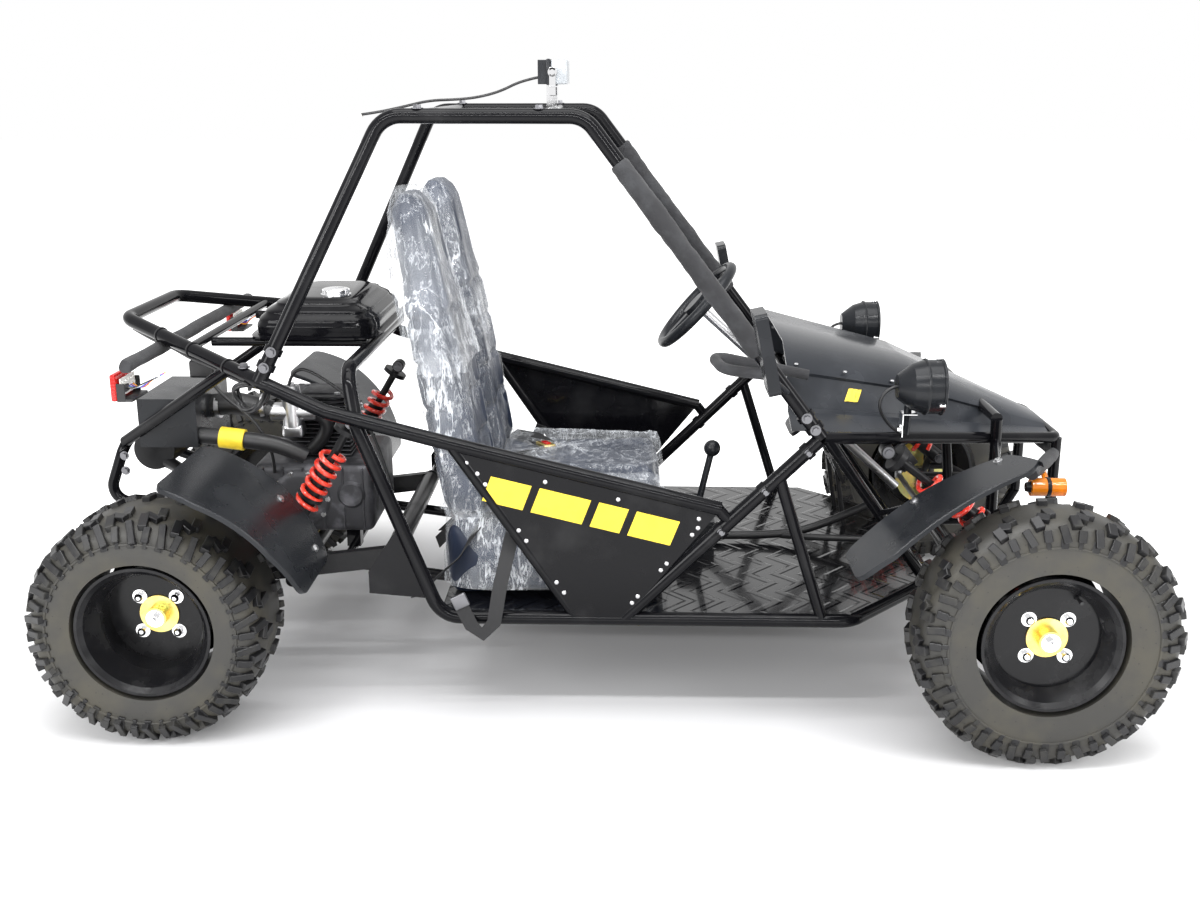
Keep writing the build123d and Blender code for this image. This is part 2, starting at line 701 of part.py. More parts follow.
def fuel_tank():
    x0 = REAR_AXLE_X + TANK_X0 * WHEELBASE
    x1 = REAR_AXLE_X + TANK_X1 * WHEELBASE
    block = box_between(Vector(x0, -TANK_HALF_W, TANK_Z0), Vector(x1, TANK_HALF_W, TANK_Z0 + TANK_H))
    block = fillet(block.edges().filter_by(Axis.Z), TANK_CORNER_R)
    block = chamfer(block.edges().group_by(Axis.Z)[-1], TANK_CHAMFER)
    return block


def tank_cap():
    x = REAR_AXLE_X + (TANK_X0 + (TANK_X1 - TANK_X0) * CAP_X_SHARE) * WHEELBASE
    return Pos(x, CAP_Y, TANK_Z0 + TANK_H + CAP_H / 2) * Cylinder(CAP_R, CAP_H)


# Hood: folded sheet over the front frame
HOOD_SECTION_SHARES = (
    # x over the wheelbase, half width of the top and of the lower edge over the body's
    # half width, height of the top and of the lower edge over the cage's height
    (0.728, 0.50, 0.93, 0.620, 0.535),
    (0.890, 0.36, 0.66, 0.568, 0.512),
    (1.074, 0.17, 0.26, 0.455, 0.440),
)


def hood_section(row, inset):
    x, top_w, low_w, top_z, low_z = row
    px = REAR_AXLE_X + x * WHEELBASE
    tw, lw = top_w * BODY_HALF_W - inset, low_w * BODY_HALF_W - inset
    tz, lz = top_z * CAGE_H - inset, low_z * CAGE_H
    lz = lz - (CUT_OVER if inset else 0)
    points = [(-lw, lz), (-tw, tz), (tw, tz), (lw, lz)]
    plane = Plane(origin=(px, 0, 0), x_dir=(0, 1, 0), z_dir=(1, 0, 0))
    return plane * make_face(Polyline(*points, close=True))


def hood(others):
    outer = loft([hood_section(row, 0) for row in HOOD_SECTION_SHARES], ruled=True)
    inner = loft([hood_section(row, SHEET) for row in HOOD_SECTION_SHARES], ruled=True)
    return outer - inner - others


# Fenders: bent sheets
SLOPE_SHARE = 0.7            # of the thickness, down and back, between the sheet's two faces
FENDER_THICK_SHARE = 1.4     # over the other sheets


def sheet_path(points, thickness, y_low, y_high):
    """A bent sheet: its side line in X and Z, extruded across in Y."""
    face = trace_strip(points, thickness)
    solid = Plane.XZ * extrude(face, (y_high - y_low) / 2, both=True)
    return Pos(0, (y_low + y_high) / 2, 0) * solid


def trace_strip(points, thickness):
    upper = list(points)
    lower = [(x - thickness * SLOPE_SHARE, z - thickness * SLOPE_SHARE) for x, z in points]
    return make_face(Polyline(*(upper + lower[::-1]), close=True))


REAR_FENDER_SHARES = ((0.030, 0.462), (0.060, 0.455), (0.120, 0.370), (0.180, 0.268), (0.186, 0.245))
REAR_FENDER_Y = (395.0, 615.0)
FRONT_FENDER_SHARES = ((0.775, 0.305), (0.800, 0.318), (0.885, 0.408), (0.950, 0.462), (1.010, 0.478))
FRONT_FENDER_Y = (450.0, 665.0)


def plate_fender(shares, span, side):
    points = [(REAR_AXLE_X + x * WHEELBASE, z * CAGE_H) for x, z in shares]
    low, high = sorted((side * span[0], side * span[1]))
    return sheet_path(points, SHEET * FENDER_THICK_SHARE, low, high)


# Fender stays: rods under each fender, welded to the front frame and to the swing arm
STAY_R = 6.0
STAY_INSET = 30.0
FRONT_STAYS = ((0.50, 0.868), (0.72, 0.955))     # start along the diagonal or rail, fender's x
REAR_STAYS = (0.125, 0.168)


def fender_height(shares, x_share):
    for (x0, z0), (x1, z1) in zip(shares, shares[1:]):
        if x0 <= x_share <= x1:
            return (z0 + (z1 - z0) * (x_share - x0) / (x1 - x0)) * CAGE_H
    raise ValueError(x_share)


def front_stay(side, index):
    start_share, x_share = FRONT_STAYS[index]
    dash, nose, toe = at("dash", side), at("nose", side), at("toe", side)
    start = between(dash, toe if index == 0 else nose, start_share)
    end = Vector(
        REAR_AXLE_X + x_share * WHEELBASE,
        side * (FRONT_FENDER_Y[0] + STAY_INSET),
        fender_height(FRONT_FENDER_SHARES, x_share) + SHEET,
    )
    return rod(start, end, STAY_R)


def rear_stay(side, x_share):
    end = Vector(
        REAR_AXLE_X + x_share * WHEELBASE,
        side * (REAR_FENDER_Y[0] + STAY_INSET),
        fender_height(REAR_FENDER_SHARES, x_share) + SHEET,
    )
    rise = (SWING_PIVOT.Z - REAR_TYRE_R) * x_share / PIVOT_SHARES[0]
    start = Vector(end.X, side * SWING_Y, REAR_TYRE_R + rise)
    return rod(start, end, STAY_R)


def under_fender(rods, fender_piece):
    return [largest(one - fender_piece) for one in rods]


# Lamps
HEADLAMP_R = 56.0
HEADLAMP_L = 92.0
HEADLAMP_SHARES = (0.875, 0.820, 0.569)   # over the wheelbase, the body's half width, the cage
BOWL_SHARES = (0.45, 0.86, 0.90)   # of the radius: back, shoulder, mouth
BOWL_L_SHARES = (0.35, 0.20, 0.40)   # of the half length: shoulder, rim's start, neck
HEAD_LENS_T = 6.0


def headlamp(side):
    x, y, z = HEADLAMP_SHARES
    centre = Vector(REAR_AXLE_X + x * WHEELBASE, side * y * BODY_HALF_W, z * CAGE_H)
    half = HEADLAMP_L / 2
    back, shoulder, mouth = [HEADLAMP_R * share for share in BOWL_SHARES]
    shoulder_l, rim_l, neck_l = [half * share for share in BOWL_L_SHARES]
    profile = [
        (0, -half),
        (back, -half),
        (shoulder, -shoulder_l),
        (HEADLAMP_R, rim_l),
        (HEADLAMP_R, half),
        (mouth, half),
        (mouth, half - HEAD_LENS_T),
        (0, half - HEAD_LENS_T),
    ]
    face = Plane.XY * make_face(Polyline(*profile, close=True))
    bowl = revolve(face, Axis.Y)
    bowl = Pos(centre.X, centre.Y, centre.Z) * Rot(0, 0, -QUARTER) * bowl
    neck = Vector(centre.X - neck_l, centre.Y, centre.Z)
    dash, nose = at("dash", side), at("nose", side)
    rail = between(dash, nose, (neck.X - dash.X) / (nose.X - dash.X))
    return bowl + rod(neck, rail, ROD_R)


def head_lens(side):
    x, y, z = HEADLAMP_SHARES
    return Pos(
        REAR_AXLE_X + x * WHEELBASE + HEADLAMP_L / 2 - HEAD_LENS_T / 2 - SEAT_GAP / 2,
        side * y * BODY_HALF_W,
        z * CAGE_H,
    ) * Rot(0, QUARTER, 0) * Cylinder(HEADLAMP_R * BOWL_SHARES[-1] - SEAT_GAP, HEAD_LENS_T - SEAT_GAP)


# Steering
WHEEL_CENTRE_SHARES = (0.636, 0.478, 0.627)
WHEEL_RING_R = 124.0
WHEEL_TUBE_R = 13.0
COLUMN_TILT = 42.0           # column below the horizontal, going forward
COLUMN_R = 11.0
COLUMN_L = 690.0
WHEEL_HUB_R = 34.0
WHEEL_HUB_T = 22.0
SPOKE_COUNT = 3
SPOKE_W = 26.0
SPOKE_T = 6.0


def steering_frame():
    x, y, z = WHEEL_CENTRE_SHARES
    origin = Vector(REAR_AXLE_X + x * WHEELBASE, y * BODY_HALF_W, z * CAGE_H)
    tilt = math.radians(COLUMN_TILT)
    back = Vector(-math.cos(tilt), 0, math.sin(tilt))
    return Plane(origin=origin, z_dir=back, x_dir=(0, 1, 0))


def steering_wheel():
    frame = steering_frame()
    ring = Torus(WHEEL_RING_R, WHEEL_TUBE_R)
    hub_disc = Cylinder(WHEEL_HUB_R, WHEEL_HUB_T)
    pieces = [ring, hub_disc]
    for index in range(SPOKE_COUNT):
        turn = Rot(0, 0, QUARTER + FULL_TURN / SPOKE_COUNT * index)
        pieces.append(turn * Pos(WHEEL_RING_R / 2, 0, 0) * Box(WHEEL_RING_R, SPOKE_W, SPOKE_T))
    return frame * fuse(pieces)


def steering_column():
    frame = steering_frame()
    return frame * Pos(0, 0, -WHEEL_HUB_T / 2 - SEAT_GAP - COLUMN_L / 2) * Cylinder(COLUMN_R, COLUMN_L)


# Mirrors and grab bar
MIRROR_SHARES = (0.688, 1.215, 0.655)
MIRROR_SIZE = (24.0, 100.0, 160.0)
MIRROR_TILT = 12.0
MIRROR_CORNER_R = 11.0
MIRROR_EDGE = 30.0           # edges shorter than this are rounded
MIRROR_FOOT_SHARE = 0.86
MIRROR_STEM_DROP = 40.0
STEM_SHARE = 0.7             # of the rods' radius


def mirror_piece(side):
    x, y, z = MIRROR_SHARES
    centre = Vector(REAR_AXLE_X + x * WHEELBASE, side * y * BODY_HALF_W, z * CAGE_H)
    head = Pos(centre.X, centre.Y, centre.Z) * Rot(0, -MIRROR_TILT, 0) * Box(*MIRROR_SIZE)
    head = fillet(head.edges().filter_by(lambda e: e.length < MIRROR_EDGE), MIRROR_CORNER_R)
    foot = between(at("roof_front", side), at("dash", side), MIRROR_FOOT_SHARE)
    stem = rod(foot, centre - Vector(0, 0, MIRROR_STEM_DROP), ROD_R * STEM_SHARE)
    return head + stem


# Swing arm pivot: pin through the arm, held by a gusset plate on each side
PIVOT_PIN_R = 10.0
PLATE_T = 6.0
PLATE_SEAT_SHARES = (0.50, 0.10)   # along the hoop's leg: the plate's upper and lower corner
PLATE_REACH = (20.0, 24.0)   # past the pivot


def pivot_mount(side):
    b_low, b_mid = at("low_rear", side), at("b_mid", side)
    upper = between(b_low, b_mid, PLATE_SEAT_SHARES[0])
    lower = between(b_low, b_mid, PLATE_SEAT_SHARES[1])
    end, reach = SWING_PIVOT.X - PLATE_REACH[0], PLATE_REACH[1]
    points = [(upper.X, upper.Z), (lower.X, lower.Z)]
    points += [(end, SWING_PIVOT.Z - reach), (end, SWING_PIVOT.Z + reach)]
    face = Plane.XZ * make_face(Polyline(*points, close=True))
    plate = Pos(0, side * at("b_mid").Y, 0) * extrude(face, PLATE_T / 2, both=True)
    return plate


def pivot_pin():
    reach = at("b_mid").Y
    end = Vector(0, reach, 0)
    return rod(SWING_PIVOT - end, SWING_PIVOT + end, PIVOT_PIN_R)


def pivot_bore():
    return Pos(SWING_PIVOT.X, 0, SWING_PIVOT.Z) * Cylinder(
        PIVOT_PIN_R + FIT_GAP, 2 * (SWING_Y + SWING_T), rotation=(QUARTER, 0, 0)
    )


# Steering rack: housing on the front frame, sliding bar with the tie rods
TIE_INSET = 8.0
RACK_X = FRONT_AXLE_X - STEER_ARM_L + TIE_INSET
RACK_Z = 284.0
RACK_R = 7.0
RACK_HOUSING_R = 20.0
RACK_HOUSING_HALF = 190.0
TIE_END_R = 10.0
RACK_FOOT_R = 12.0
RACK_FOOT_INSET = 8.0


def rack_housing():
    pieces = [
        Pos(RACK_X, 0, RACK_Z) * Cylinder(RACK_HOUSING_R, 2 * RACK_HOUSING_HALF, rotation=(QUARTER, 0, 0))
    ]
    toe, nose = at("low_toe"), at("low_nose")
    share = (RACK_X - toe.X) / (nose.X - toe.X)
    for _, side in SIDES:
        rail = between(at("low_toe", side), at("low_nose", side), share)
        foot = Vector(rail.X, side * (RACK_HOUSING_HALF - RACK_FOOT_INSET), rail.Z)
        pieces.append(rod(foot, Vector(RACK_X, foot.Y, RACK_Z), RACK_FOOT_R))
    return pieces


def rack_bore():
    return Pos(RACK_X, 0, RACK_Z) * Cylinder(
        RACK_R + FIT_GAP, 2 * RACK_HOUSING_HALF + CUT_OVER, rotation=(QUARTER, 0, 0)
    )


def tie_rods():
    reach = KINGPIN_Y
    bar = Pos(RACK_X, 0, RACK_Z) * Cylinder(RACK_R, 2 * reach, rotation=(QUARTER, 0, 0))
    pieces = [bar]
    for _, side in SIDES:
        top = STEER_ARM_Z - STEER_ARM_T / 2 - SEAT_GAP
        y = side * reach
        pieces.append(rod(Vector(RACK_X, y, RACK_Z - TIE_END_R), Vector(RACK_X, y, top), TIE_END_R))
    return fuse(pieces)


# Column bearing on the dash tube
BEARING_R = 20.0
BEARING_L = 36.0
BEARING_ARM_SHARE = 0.8      # of the small tubes' radius
BEARING_CUT_DOWN = 40.0
SHOCK_MOUNT_SHARE = 0.26     # along the hood rail


def column_bearing():
    frame = steering_frame()
    dash = Vector(at("dash").X, frame.origin.Y, at("dash").Z)
    along = (dash - frame.origin).dot(frame.z_dir * -1)
    seat = frame.origin - frame.z_dir * along
    ring = Plane(origin=seat, z_dir=frame.z_dir) * Cylinder(BEARING_R, BEARING_L)
    return [ring, rod(seat, dash, SMALL_TUBE_R * BEARING_ARM_SHARE)]


def column_bore():
    frame = steering_frame()
    return frame * Pos(0, 0, -COLUMN_L / 2 - BEARING_CUT_DOWN) * Cylinder(COLUMN_R + FIT_GAP, COLUMN_L)


def front_shock_ends(side):
    low = Vector(FRONT_AXLE_X, side * (KINGPIN_Y - SHOCK_INSET), TOP_BALL_Z + ARM_R + EYE_R + SEAT_GAP)
    rail = between(at("dash", side), at("nose", side), SHOCK_MOUNT_SHARE)
    top = Vector(rail.X, rail.Y, rail.Z - SMALL_TUBE_R - EYE_R - SEAT_GAP)
    return low, top


# Foam sleeves on the pillars, foam bars at the nose and on the rack
FOAM_R = 21.0
SLEEVE_SHARES = (0.14, 0.73)
NOSE_BAR_DROP = 36.0


def foam_sleeves():
    pieces = []
    for _, side in SIDES:
        top, foot = at("roof_front", side), at("dash", side)
        start, end = between(top, foot, SLEEVE_SHARES[0]), between(top, foot, SLEEVE_SHARES[1])
        sleeve = rod(start, end, FOAM_R)
        run = (end - start).normalized() * CUT_OVER
        pieces.append(sleeve - rod(start - run, end + run, TUBE_R + SEAT_GAP))
    return pieces


def nose_bar():
    names = ("bar_end", "nose")
    drop = Vector(0, 0, -NOSE_BAR_DROP)
    points = [point + drop for point in mirrored(names)]
    return bent(points, TUBE_R, TIGHT_BEND_R)


RACK_BAR_SHARE = 0.26
RACK_BAR_HALF = 450.0


def rack_bar():
    leg = between(at("rack_corner"), at("hoop_foot"), RACK_BAR_SHARE)
    z = leg.Z - 2 * TUBE_R - SEAT_GAP
    return rod(Vector(leg.X, -RACK_BAR_HALF, z), Vector(leg.X, RACK_BAR_HALF, z), TUBE_R)


# Tail lamps, turn signals, roof lamp
TAIL_LAMP = (46.0, 96.0, 60.0)
TAIL_LAMP_BACK = 12.0
SIGNAL_R = 20.0
SIGNAL_L = 74.0
SIGNAL_SHARES = (1.046, 0.640, 0.378)
SIGNAL_STEM_SHARE = 1 / 3


def tail_lamp(side):
    leg = between(at("rack_corner"), at("hoop_foot"), RACK_BAR_SHARE)
    x = leg.X - TAIL_LAMP_BACK
    z = leg.Z - (2 * TUBE_R + TUBE_R) - SEAT_GAP * 2 - TAIL_LAMP[2] / 2
    return Pos(x, side * (RACK_BAR_HALF - TAIL_LAMP[1] / 2), z) * Box(*TAIL_LAMP)


def turn_signal(side):
    x, y, z = SIGNAL_SHARES
    centre = Vector(REAR_AXLE_X + x * WHEELBASE, side * y * BODY_HALF_W, z * CAGE_H)
    body = Pos(centre.X, centre.Y, centre.Z) * Cylinder(SIGNAL_R, SIGNAL_L, rotation=(0, QUARTER, 0))
    end, nose = at("bar_end", side), at("nose", side)
    bar = between(end, nose, (centre.X - end.X) / (nose.X - end.X)) - Vector(0, 0, NOSE_BAR_DROP)
    return body + rod(centre, bar, SIGNAL_R * SIGNAL_STEM_SHARE)


LAMP_X0, LAMP_X1 = 0.430, 0.466
LAMP_W = 112.0
LAMP_H = 56.0
LAMP_LIFT = 46.0
BRACKET_T = 3.0
CLAMP_R = 17.0
CLAMP_L = 40.0
CLAMP_POST_L = 24.0
CLAMP_BORE_L = 60.0


def roof_lamp():
    z0 = CAGE_H + SMALL_TUBE_R + LAMP_LIFT
    return box_between(
        Vector(REAR_AXLE_X + LAMP_X0 * WHEELBASE, -LAMP_W / 2, z0),
        Vector(REAR_AXLE_X + LAMP_X1 * WHEELBASE, LAMP_W / 2, z0 + LAMP_H),
    )


def roof_lamp_bracket():
    x = at("roof_cross_front").X
    z0 = CAGE_H
    z1 = CAGE_H + SMALL_TUBE_R + LAMP_LIFT - SEAT_GAP
    clamp = Pos(x, 0, CAGE_H) * Cylinder(CLAMP_R, CLAMP_L, rotation=(QUARTER, 0, 0))
    half, wide = CLAMP_POST_L / 2, CLAMP_L / 2
    post = box_between(Vector(x - half, -wide, z0), Vector(x + half, wide, z1))
    bore = Pos(x, 0, CAGE_H) * Cylinder(SMALL_TUBE_R + SEAT_GAP, CLAMP_BORE_L, rotation=(QUARTER, 0, 0))
    return clamp + post - bore


# Roof lamp's cable: route points by hand, relative to the rear axle, the centre and the ground
CABLE_R = 3.0
CABLE_ROUTE = (
    (776.15, 0.0, 1332.0),
    (735.0, 2.0, 1324.0),
    (688.0, 7.0, 1301.0),
    (636.0, 5.0, 1288.0),
    (588.0, -3.0, 1283.5),
    (530.0, -8.0, 1282.0),
    (470.0, -4.0, 1268.0),
    (412.0, 3.0, 1256.0),
    (374.0, 6.0, 1251.0),
)
PLUG = (30.0, 16.0, 12.0)
CABLE_BEND_SHARE = 0.45      # of the shorter run beside a route point


def cable_points():
    return [Vector(REAR_AXLE_X + x, y, z) for x, y, z in CABLE_ROUTE]


def roof_cable():
    points = cable_points()
    radii = []
    for index in range(1, len(points) - 1):
        before = points[index] - points[index - 1]
        after = points[index + 1] - points[index]
        half_turn = math.radians(before.get_angle(after)) / 2
        radii.append(CABLE_BEND_SHARE * min(before.length, after.length) / math.tan(half_turn))
    path = FilletPolyline(*points, radius=radii)
    section = Plane(origin=path @ 0, z_dir=path % 0) * Circle(CABLE_R)
    return sweep(section, path=path)


def cable_plug():
    points = cable_points()
    run = (points[-1] - points[-2]).normalized()
    centre = points[-1] + run * (PLUG[0] / 2)
    place = Plane(origin=centre, x_dir=run, z_dir=run.cross(Vector(0, 1, 0)))
    return place * Box(*PLUG)


# Muffler, air box, grab bar, controls
MUFFLER_R = 48.0
MUFFLER_L = 260.0
MUFFLER_AT = (62.0, 60.0, 22.0)   # ahead of the tail hoop, across, above the hoop's foot
AIR_BOX = (130.0, 240.0, 110.0)
AIR_BOX_AT = (-45.0, -110.0, 590.0)


def muffler():
    ahead, y, lift = MUFFLER_AT
    tail = at("tail_low")
    return Pos(tail.X + ahead, y, tail.Z + lift + MUFFLER_R) * Cylinder(MUFFLER_R, MUFFLER_L, rotation=(QUARTER, 0, 0))


def air_box():
    x, y, z = AIR_BOX_AT
    return Pos(REAR_AXLE_X + x, y, z) * Box(*AIR_BOX)


GRAB_FOOT_SHARE = 0.80       # along the pillar
GRAB_INNER = (-20.0, 110.0, 8.0)
GRAB_BACK = (-105.0, 0.0, 12.0)
GRAB_END = (100.0, 0.0, -30.0)
GRAB_R_SHARE = 0.9


def grab_bar(others):
    foot = between(at("roof_front", -1), at("dash", -1), GRAB_FOOT_SHARE)
    inner, back = foot + Vector(*GRAB_INNER), Vector(*GRAB_BACK)
    points = [foot, foot + back, inner + back, inner + Vector(*GRAB_END)]
    return bent(points, SMALL_TUBE_R * GRAB_R_SHARE, TIGHT_BEND_R) - others


LEVER_SHARE = 0.625          # over the wheelbase, from the rear axle
LEVER_TOP = (52.0, 0.0, 235.0)
KNOB_R = 20.0
LEVER_BOX = (120.0, 70.0, 60.0)
PEDAL_SHARE = 0.845
PEDAL_TOP = (-25.0, 0.0, 150.0)
PEDAL_ROD_R = 6.0
PEDAL_PAD = (8.0, 60.0, 70.0)
PEDAL_TILT = 25.0
PEDAL_Y = (130.0, 290.0)


def on_floor(share, y):
    z = at("low_front").Z + SMALL_TUBE_R + SHEET + 2 * SEAT_GAP
    return Vector(REAR_AXLE_X + share * WHEELBASE, y, z)


def gear_lever():
    base = on_floor(LEVER_SHARE, 0)
    knob = base + Vector(*LEVER_TOP)
    ball = Pos(knob.X, knob.Y, knob.Z) * Sphere(KNOB_R)
    box = Pos(base.X, 0, base.Z + LEVER_BOX[-1] / 2) * Box(*LEVER_BOX)
    return fuse([rod(base, knob, ROD_R), ball, box])


def pedal(y):
    base = on_floor(PEDAL_SHARE, y)
    top = base + Vector(*PEDAL_TOP)
    pad = Pos(top.X, top.Y, top.Z) * Rot(0, -PEDAL_TILT, 0) * Box(*PEDAL_PAD)
    return fuse([rod(base, top, PEDAL_ROD_R), pad])


# Build and write every piece
def group(pieces):
    return Compound(children=[solid for piece in pieces for solid in piece.solids()])


lower = save(fuse([lower_frame(), pivot_pin()] + [pivot_mount(side) for _, side in SIDES]), "frame_lower")
side_frames = {side: side_frame(side, lower) for _, side in SIDES}
save(group(side_frames.values()), "frame_sides")
sides_solid = list(side_frames.values())
rack = save(rear_rack() + tank_rails([lower] + sides_solid), "rear_rack")
hoops = [cage_hoop(side, side_frames[side] + rack) for _, side in SIDES]
save(group(hoops), "cage_hoops")
save(group(cage_cross(fuse(hoops))), "cage_cross_tubes")
bearing = column_bearing()
front = front_frame([lower] + sides_solid + hoops)
front_fenders = [plate_fender(FRONT_FENDER_SHARES, FRONT_FENDER_Y, side) for _, side in SIDES]
stays = [front_stay(side, index) for _, side in SIDES for index in range(len(FRONT_STAYS))]
front = fuse([front] + rack_housing() + bearing + under_fender(stays, front_fenders))
front = front - rack_bore() - column_bore() - lower - sides_solid
save(front, "frame_front")
cradle = save(rear_cradle([lower, rack] + sides_solid), "engine_cradle")
frame_pieces = [lower, rack, front, cradle] + sides_solid + hoops

arms = [lower_arm(side) for _, side in SIDES] + [upper_arm(side) for _, side in SIDES]
save(group(arms), "front_arms")
rear_tyres, rear_rims, rear_hubs = [], [], []
for name, side in SIDES:
    centre = wheel_centre(True, side)
    save(tyre(FRONT_TYRE_R, FRONT_TYRE_W, FRONT_RIM_W, centre, side), f"tyre_front_{name}")
    front_rim = rim(FRONT_RIM_W, FRONT_DISC_OUT, PILOT_R, centre, side)
    save(front_rim - stud_holes(centre, side), f"rim_front_{name}")
    save(hub(centre, side, FRONT_DISC_OUT, FRONT_HUB_IN, STUB_R + FIT_GAP, True), f"hub_front_{name}")
    save(knuckle(side), f"knuckle_{name}")
    centre = wheel_centre(False, side)
    rear_tyres.append(tyre(REAR_TYRE_R, REAR_TYRE_W, REAR_RIM_W, centre, side))
    rear_rims.append(rim(REAR_RIM_W, REAR_DISC_OUT, PILOT_R, centre, side) - stud_holes(centre, side))
    rear_hubs.append(hub(centre, side, REAR_DISC_OUT, REAR_HUB_IN, AXLE_R))
save(group(rear_tyres), "tyres_rear")
save(group(rear_rims), "rims_rear")
save(group(rear_hubs), "hubs_rear")
save(rear_axle(), "rear_axle")
rear_fenders = [plate_fender(REAR_FENDER_SHARES, REAR_FENDER_Y, side) for _, side in SIDES]
stays = [rear_stay(side, share) for _, side in SIDES for share in REAR_STAYS]
save(fuse([swing_arm() - pivot_bore()] + under_fender(stays, rear_fenders)) - pivot_bore(), "swing_arm")

along_y = (0, 1, 0)
shocks, springs = [], []
for ends in (front_shock_ends, rear_shock_ends):
    for _, side in SIDES:
        low, top = ends(side)
        shocks.append(shock(low, top, along_y) - frame_pieces - arms)
        springs.append(spring(low, top) - shocks[-1])
save(group(shocks), "shocks")
save(group(springs), "springs")

save(engine() - cradle, "engine")
save(muffler() - cradle, "muffler")
save(air_box() - cradle, "air_box")
save(fuel_tank(), "fuel_tank")
save(tank_cap(), "tank_cap")
save(group([side_panel(side, [lower, side_frames[side]]) for _, side in SIDES]), "side_panels")
save(group([seat_back(side) for _, side in SIDES]), "seat_backs")
save(group([seat_cushion(side) for _, side in SIDES]), "seat_cushions")
save(group(front_fenders + rear_fenders), "fenders")
floor = save(largest(floor_pan(frame_pieces)), "floor_pan")
save(largest(hood(frame_pieces)), "hood")
save(group([headlamp(side) - frame_pieces for _, side in SIDES]), "headlamps")
save(group([head_lens(side) for _, side in SIDES]), "headlamp_lenses")
save(group([tail_lamp(side) for _, side in SIDES]), "tail_lamps")
pads = [largest(pad - frame_pieces) for pad in foam_sleeves() + [nose_bar(), rack_bar()]]
save(group(pads), "foam_pads")
save(group([largest(turn_signal(side) - pads) for _, side in SIDES]), "turn_signals")
save(steering_wheel(), "steering_wheel")
save(steering_column(), "steering_column")
save(tie_rods(), "tie_rods")
save(group([mirror_piece(side) - frame_pieces for _, side in SIDES]), "mirrors")
save(largest(grab_bar(frame_pieces)), "grab_bar")
save(roof_lamp(), "roof_lamp")
save(roof_lamp_bracket(), "roof_lamp_bracket")
save(roof_cable(), "roof_cable")
save(cable_plug(), "cable_plug")
save(gear_lever() - floor, "gear_lever")
save(group([pedal(y) - floor for y in PEDAL_Y]), "pedals")
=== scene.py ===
import json
import math

import bmesh
import bpy
from mathutils import Matrix, Vector, noise


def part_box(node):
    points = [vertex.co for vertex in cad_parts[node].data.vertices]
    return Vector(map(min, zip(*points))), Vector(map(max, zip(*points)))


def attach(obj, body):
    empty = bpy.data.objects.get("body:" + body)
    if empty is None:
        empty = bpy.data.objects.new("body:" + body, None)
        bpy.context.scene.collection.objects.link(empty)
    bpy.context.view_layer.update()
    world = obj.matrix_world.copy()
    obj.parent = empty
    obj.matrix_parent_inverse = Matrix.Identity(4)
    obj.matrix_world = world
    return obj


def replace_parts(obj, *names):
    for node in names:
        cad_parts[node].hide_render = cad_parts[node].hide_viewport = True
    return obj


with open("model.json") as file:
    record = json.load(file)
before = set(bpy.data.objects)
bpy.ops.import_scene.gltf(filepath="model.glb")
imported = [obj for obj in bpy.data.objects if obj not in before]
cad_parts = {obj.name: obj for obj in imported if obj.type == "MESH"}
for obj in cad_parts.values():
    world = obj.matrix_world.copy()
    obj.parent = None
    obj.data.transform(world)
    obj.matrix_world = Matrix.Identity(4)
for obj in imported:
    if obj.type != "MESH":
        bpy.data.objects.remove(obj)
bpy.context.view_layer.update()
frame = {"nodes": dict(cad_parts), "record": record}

# Everything is in metres, in the vehicle's frame: +X forward, +Y to the left, +Z up
WHEELBASE = 1.805
FRONT_TYRE_R = 0.2665
FRONT_TYRE_W = 0.178
REAR_TYRE_R = 0.248
REAR_TYRE_W = 0.250
REAR_AXLE_X = -(WHEELBASE + FRONT_TYRE_R - REAR_TYRE_R) / 2
FRONT_AXLE_X = REAR_AXLE_X + WHEELBASE
FRONT_TRACK_HALF = 0.600
REAR_TRACK_HALF = 0.505
RIM_R = 0.139
SIDES = (("right", -1), ("left", 1))

# Camera: the photograph's place and angles
LENS_MM = 39.67
SENSOR_MM = 36.0
CAMERA_PLACE = Vector((0.06637, -3.05734, 1.31458))
CAMERA_PITCH = math.radians(15.422)      # below the horizontal
CAMERA_YAW = math.radians(-1.2468)       # from +Y towards +X


def photo_camera():
    lens = bpy.data.cameras.new("photo_camera")
    lens.lens, lens.sensor_width = LENS_MM, SENSOR_MM
    forward = Vector((
        math.sin(CAMERA_YAW) * math.cos(CAMERA_PITCH),
        math.cos(CAMERA_YAW) * math.cos(CAMERA_PITCH),
        -math.sin(CAMERA_PITCH),
    ))
    camera = bpy.data.objects.new("photo_camera", lens)
    camera.rotation_euler = forward.to_track_quat("-Z", "Y").to_euler()
    camera.location = CAMERA_PLACE
    bpy.context.scene.collection.objects.link(camera)
    bpy.context.scene.camera = camera


photo_camera()


# Shader maths: expressions on wires add their own nodes
class Wire:
    def __init__(self, finish, socket):
        self.finish, self.socket = finish, socket

    def _math(self, operation, *terms):
        return self.finish.node("ShaderNodeMath", {"operation": operation}, *terms)

    def __add__(self, other):
        return self._math("ADD", self, other)

    __radd__ = __add__

    def __sub__(self, other):
        return self._math("SUBTRACT", self, other)

    def __rsub__(self, other):
        return self._math("SUBTRACT", other, self)

    def __mul__(self, other):
        return self._math("MULTIPLY", self, other)

    __rmul__ = __mul__

    def absolute(self):
        return self._math("ABSOLUTE", self)

    def sine(self):
        return self._math("SINE", self)

    def wave(self):
        return self._math("FRACT", self)

    def step(self, low, high):
        """0 below low, 1 above high, smooth between."""
        return self.finish.node(
            "ShaderNodeMapRange", {"interpolation_type": "SMOOTHSTEP"}, self, low, high, 0.0, 1.0
        )


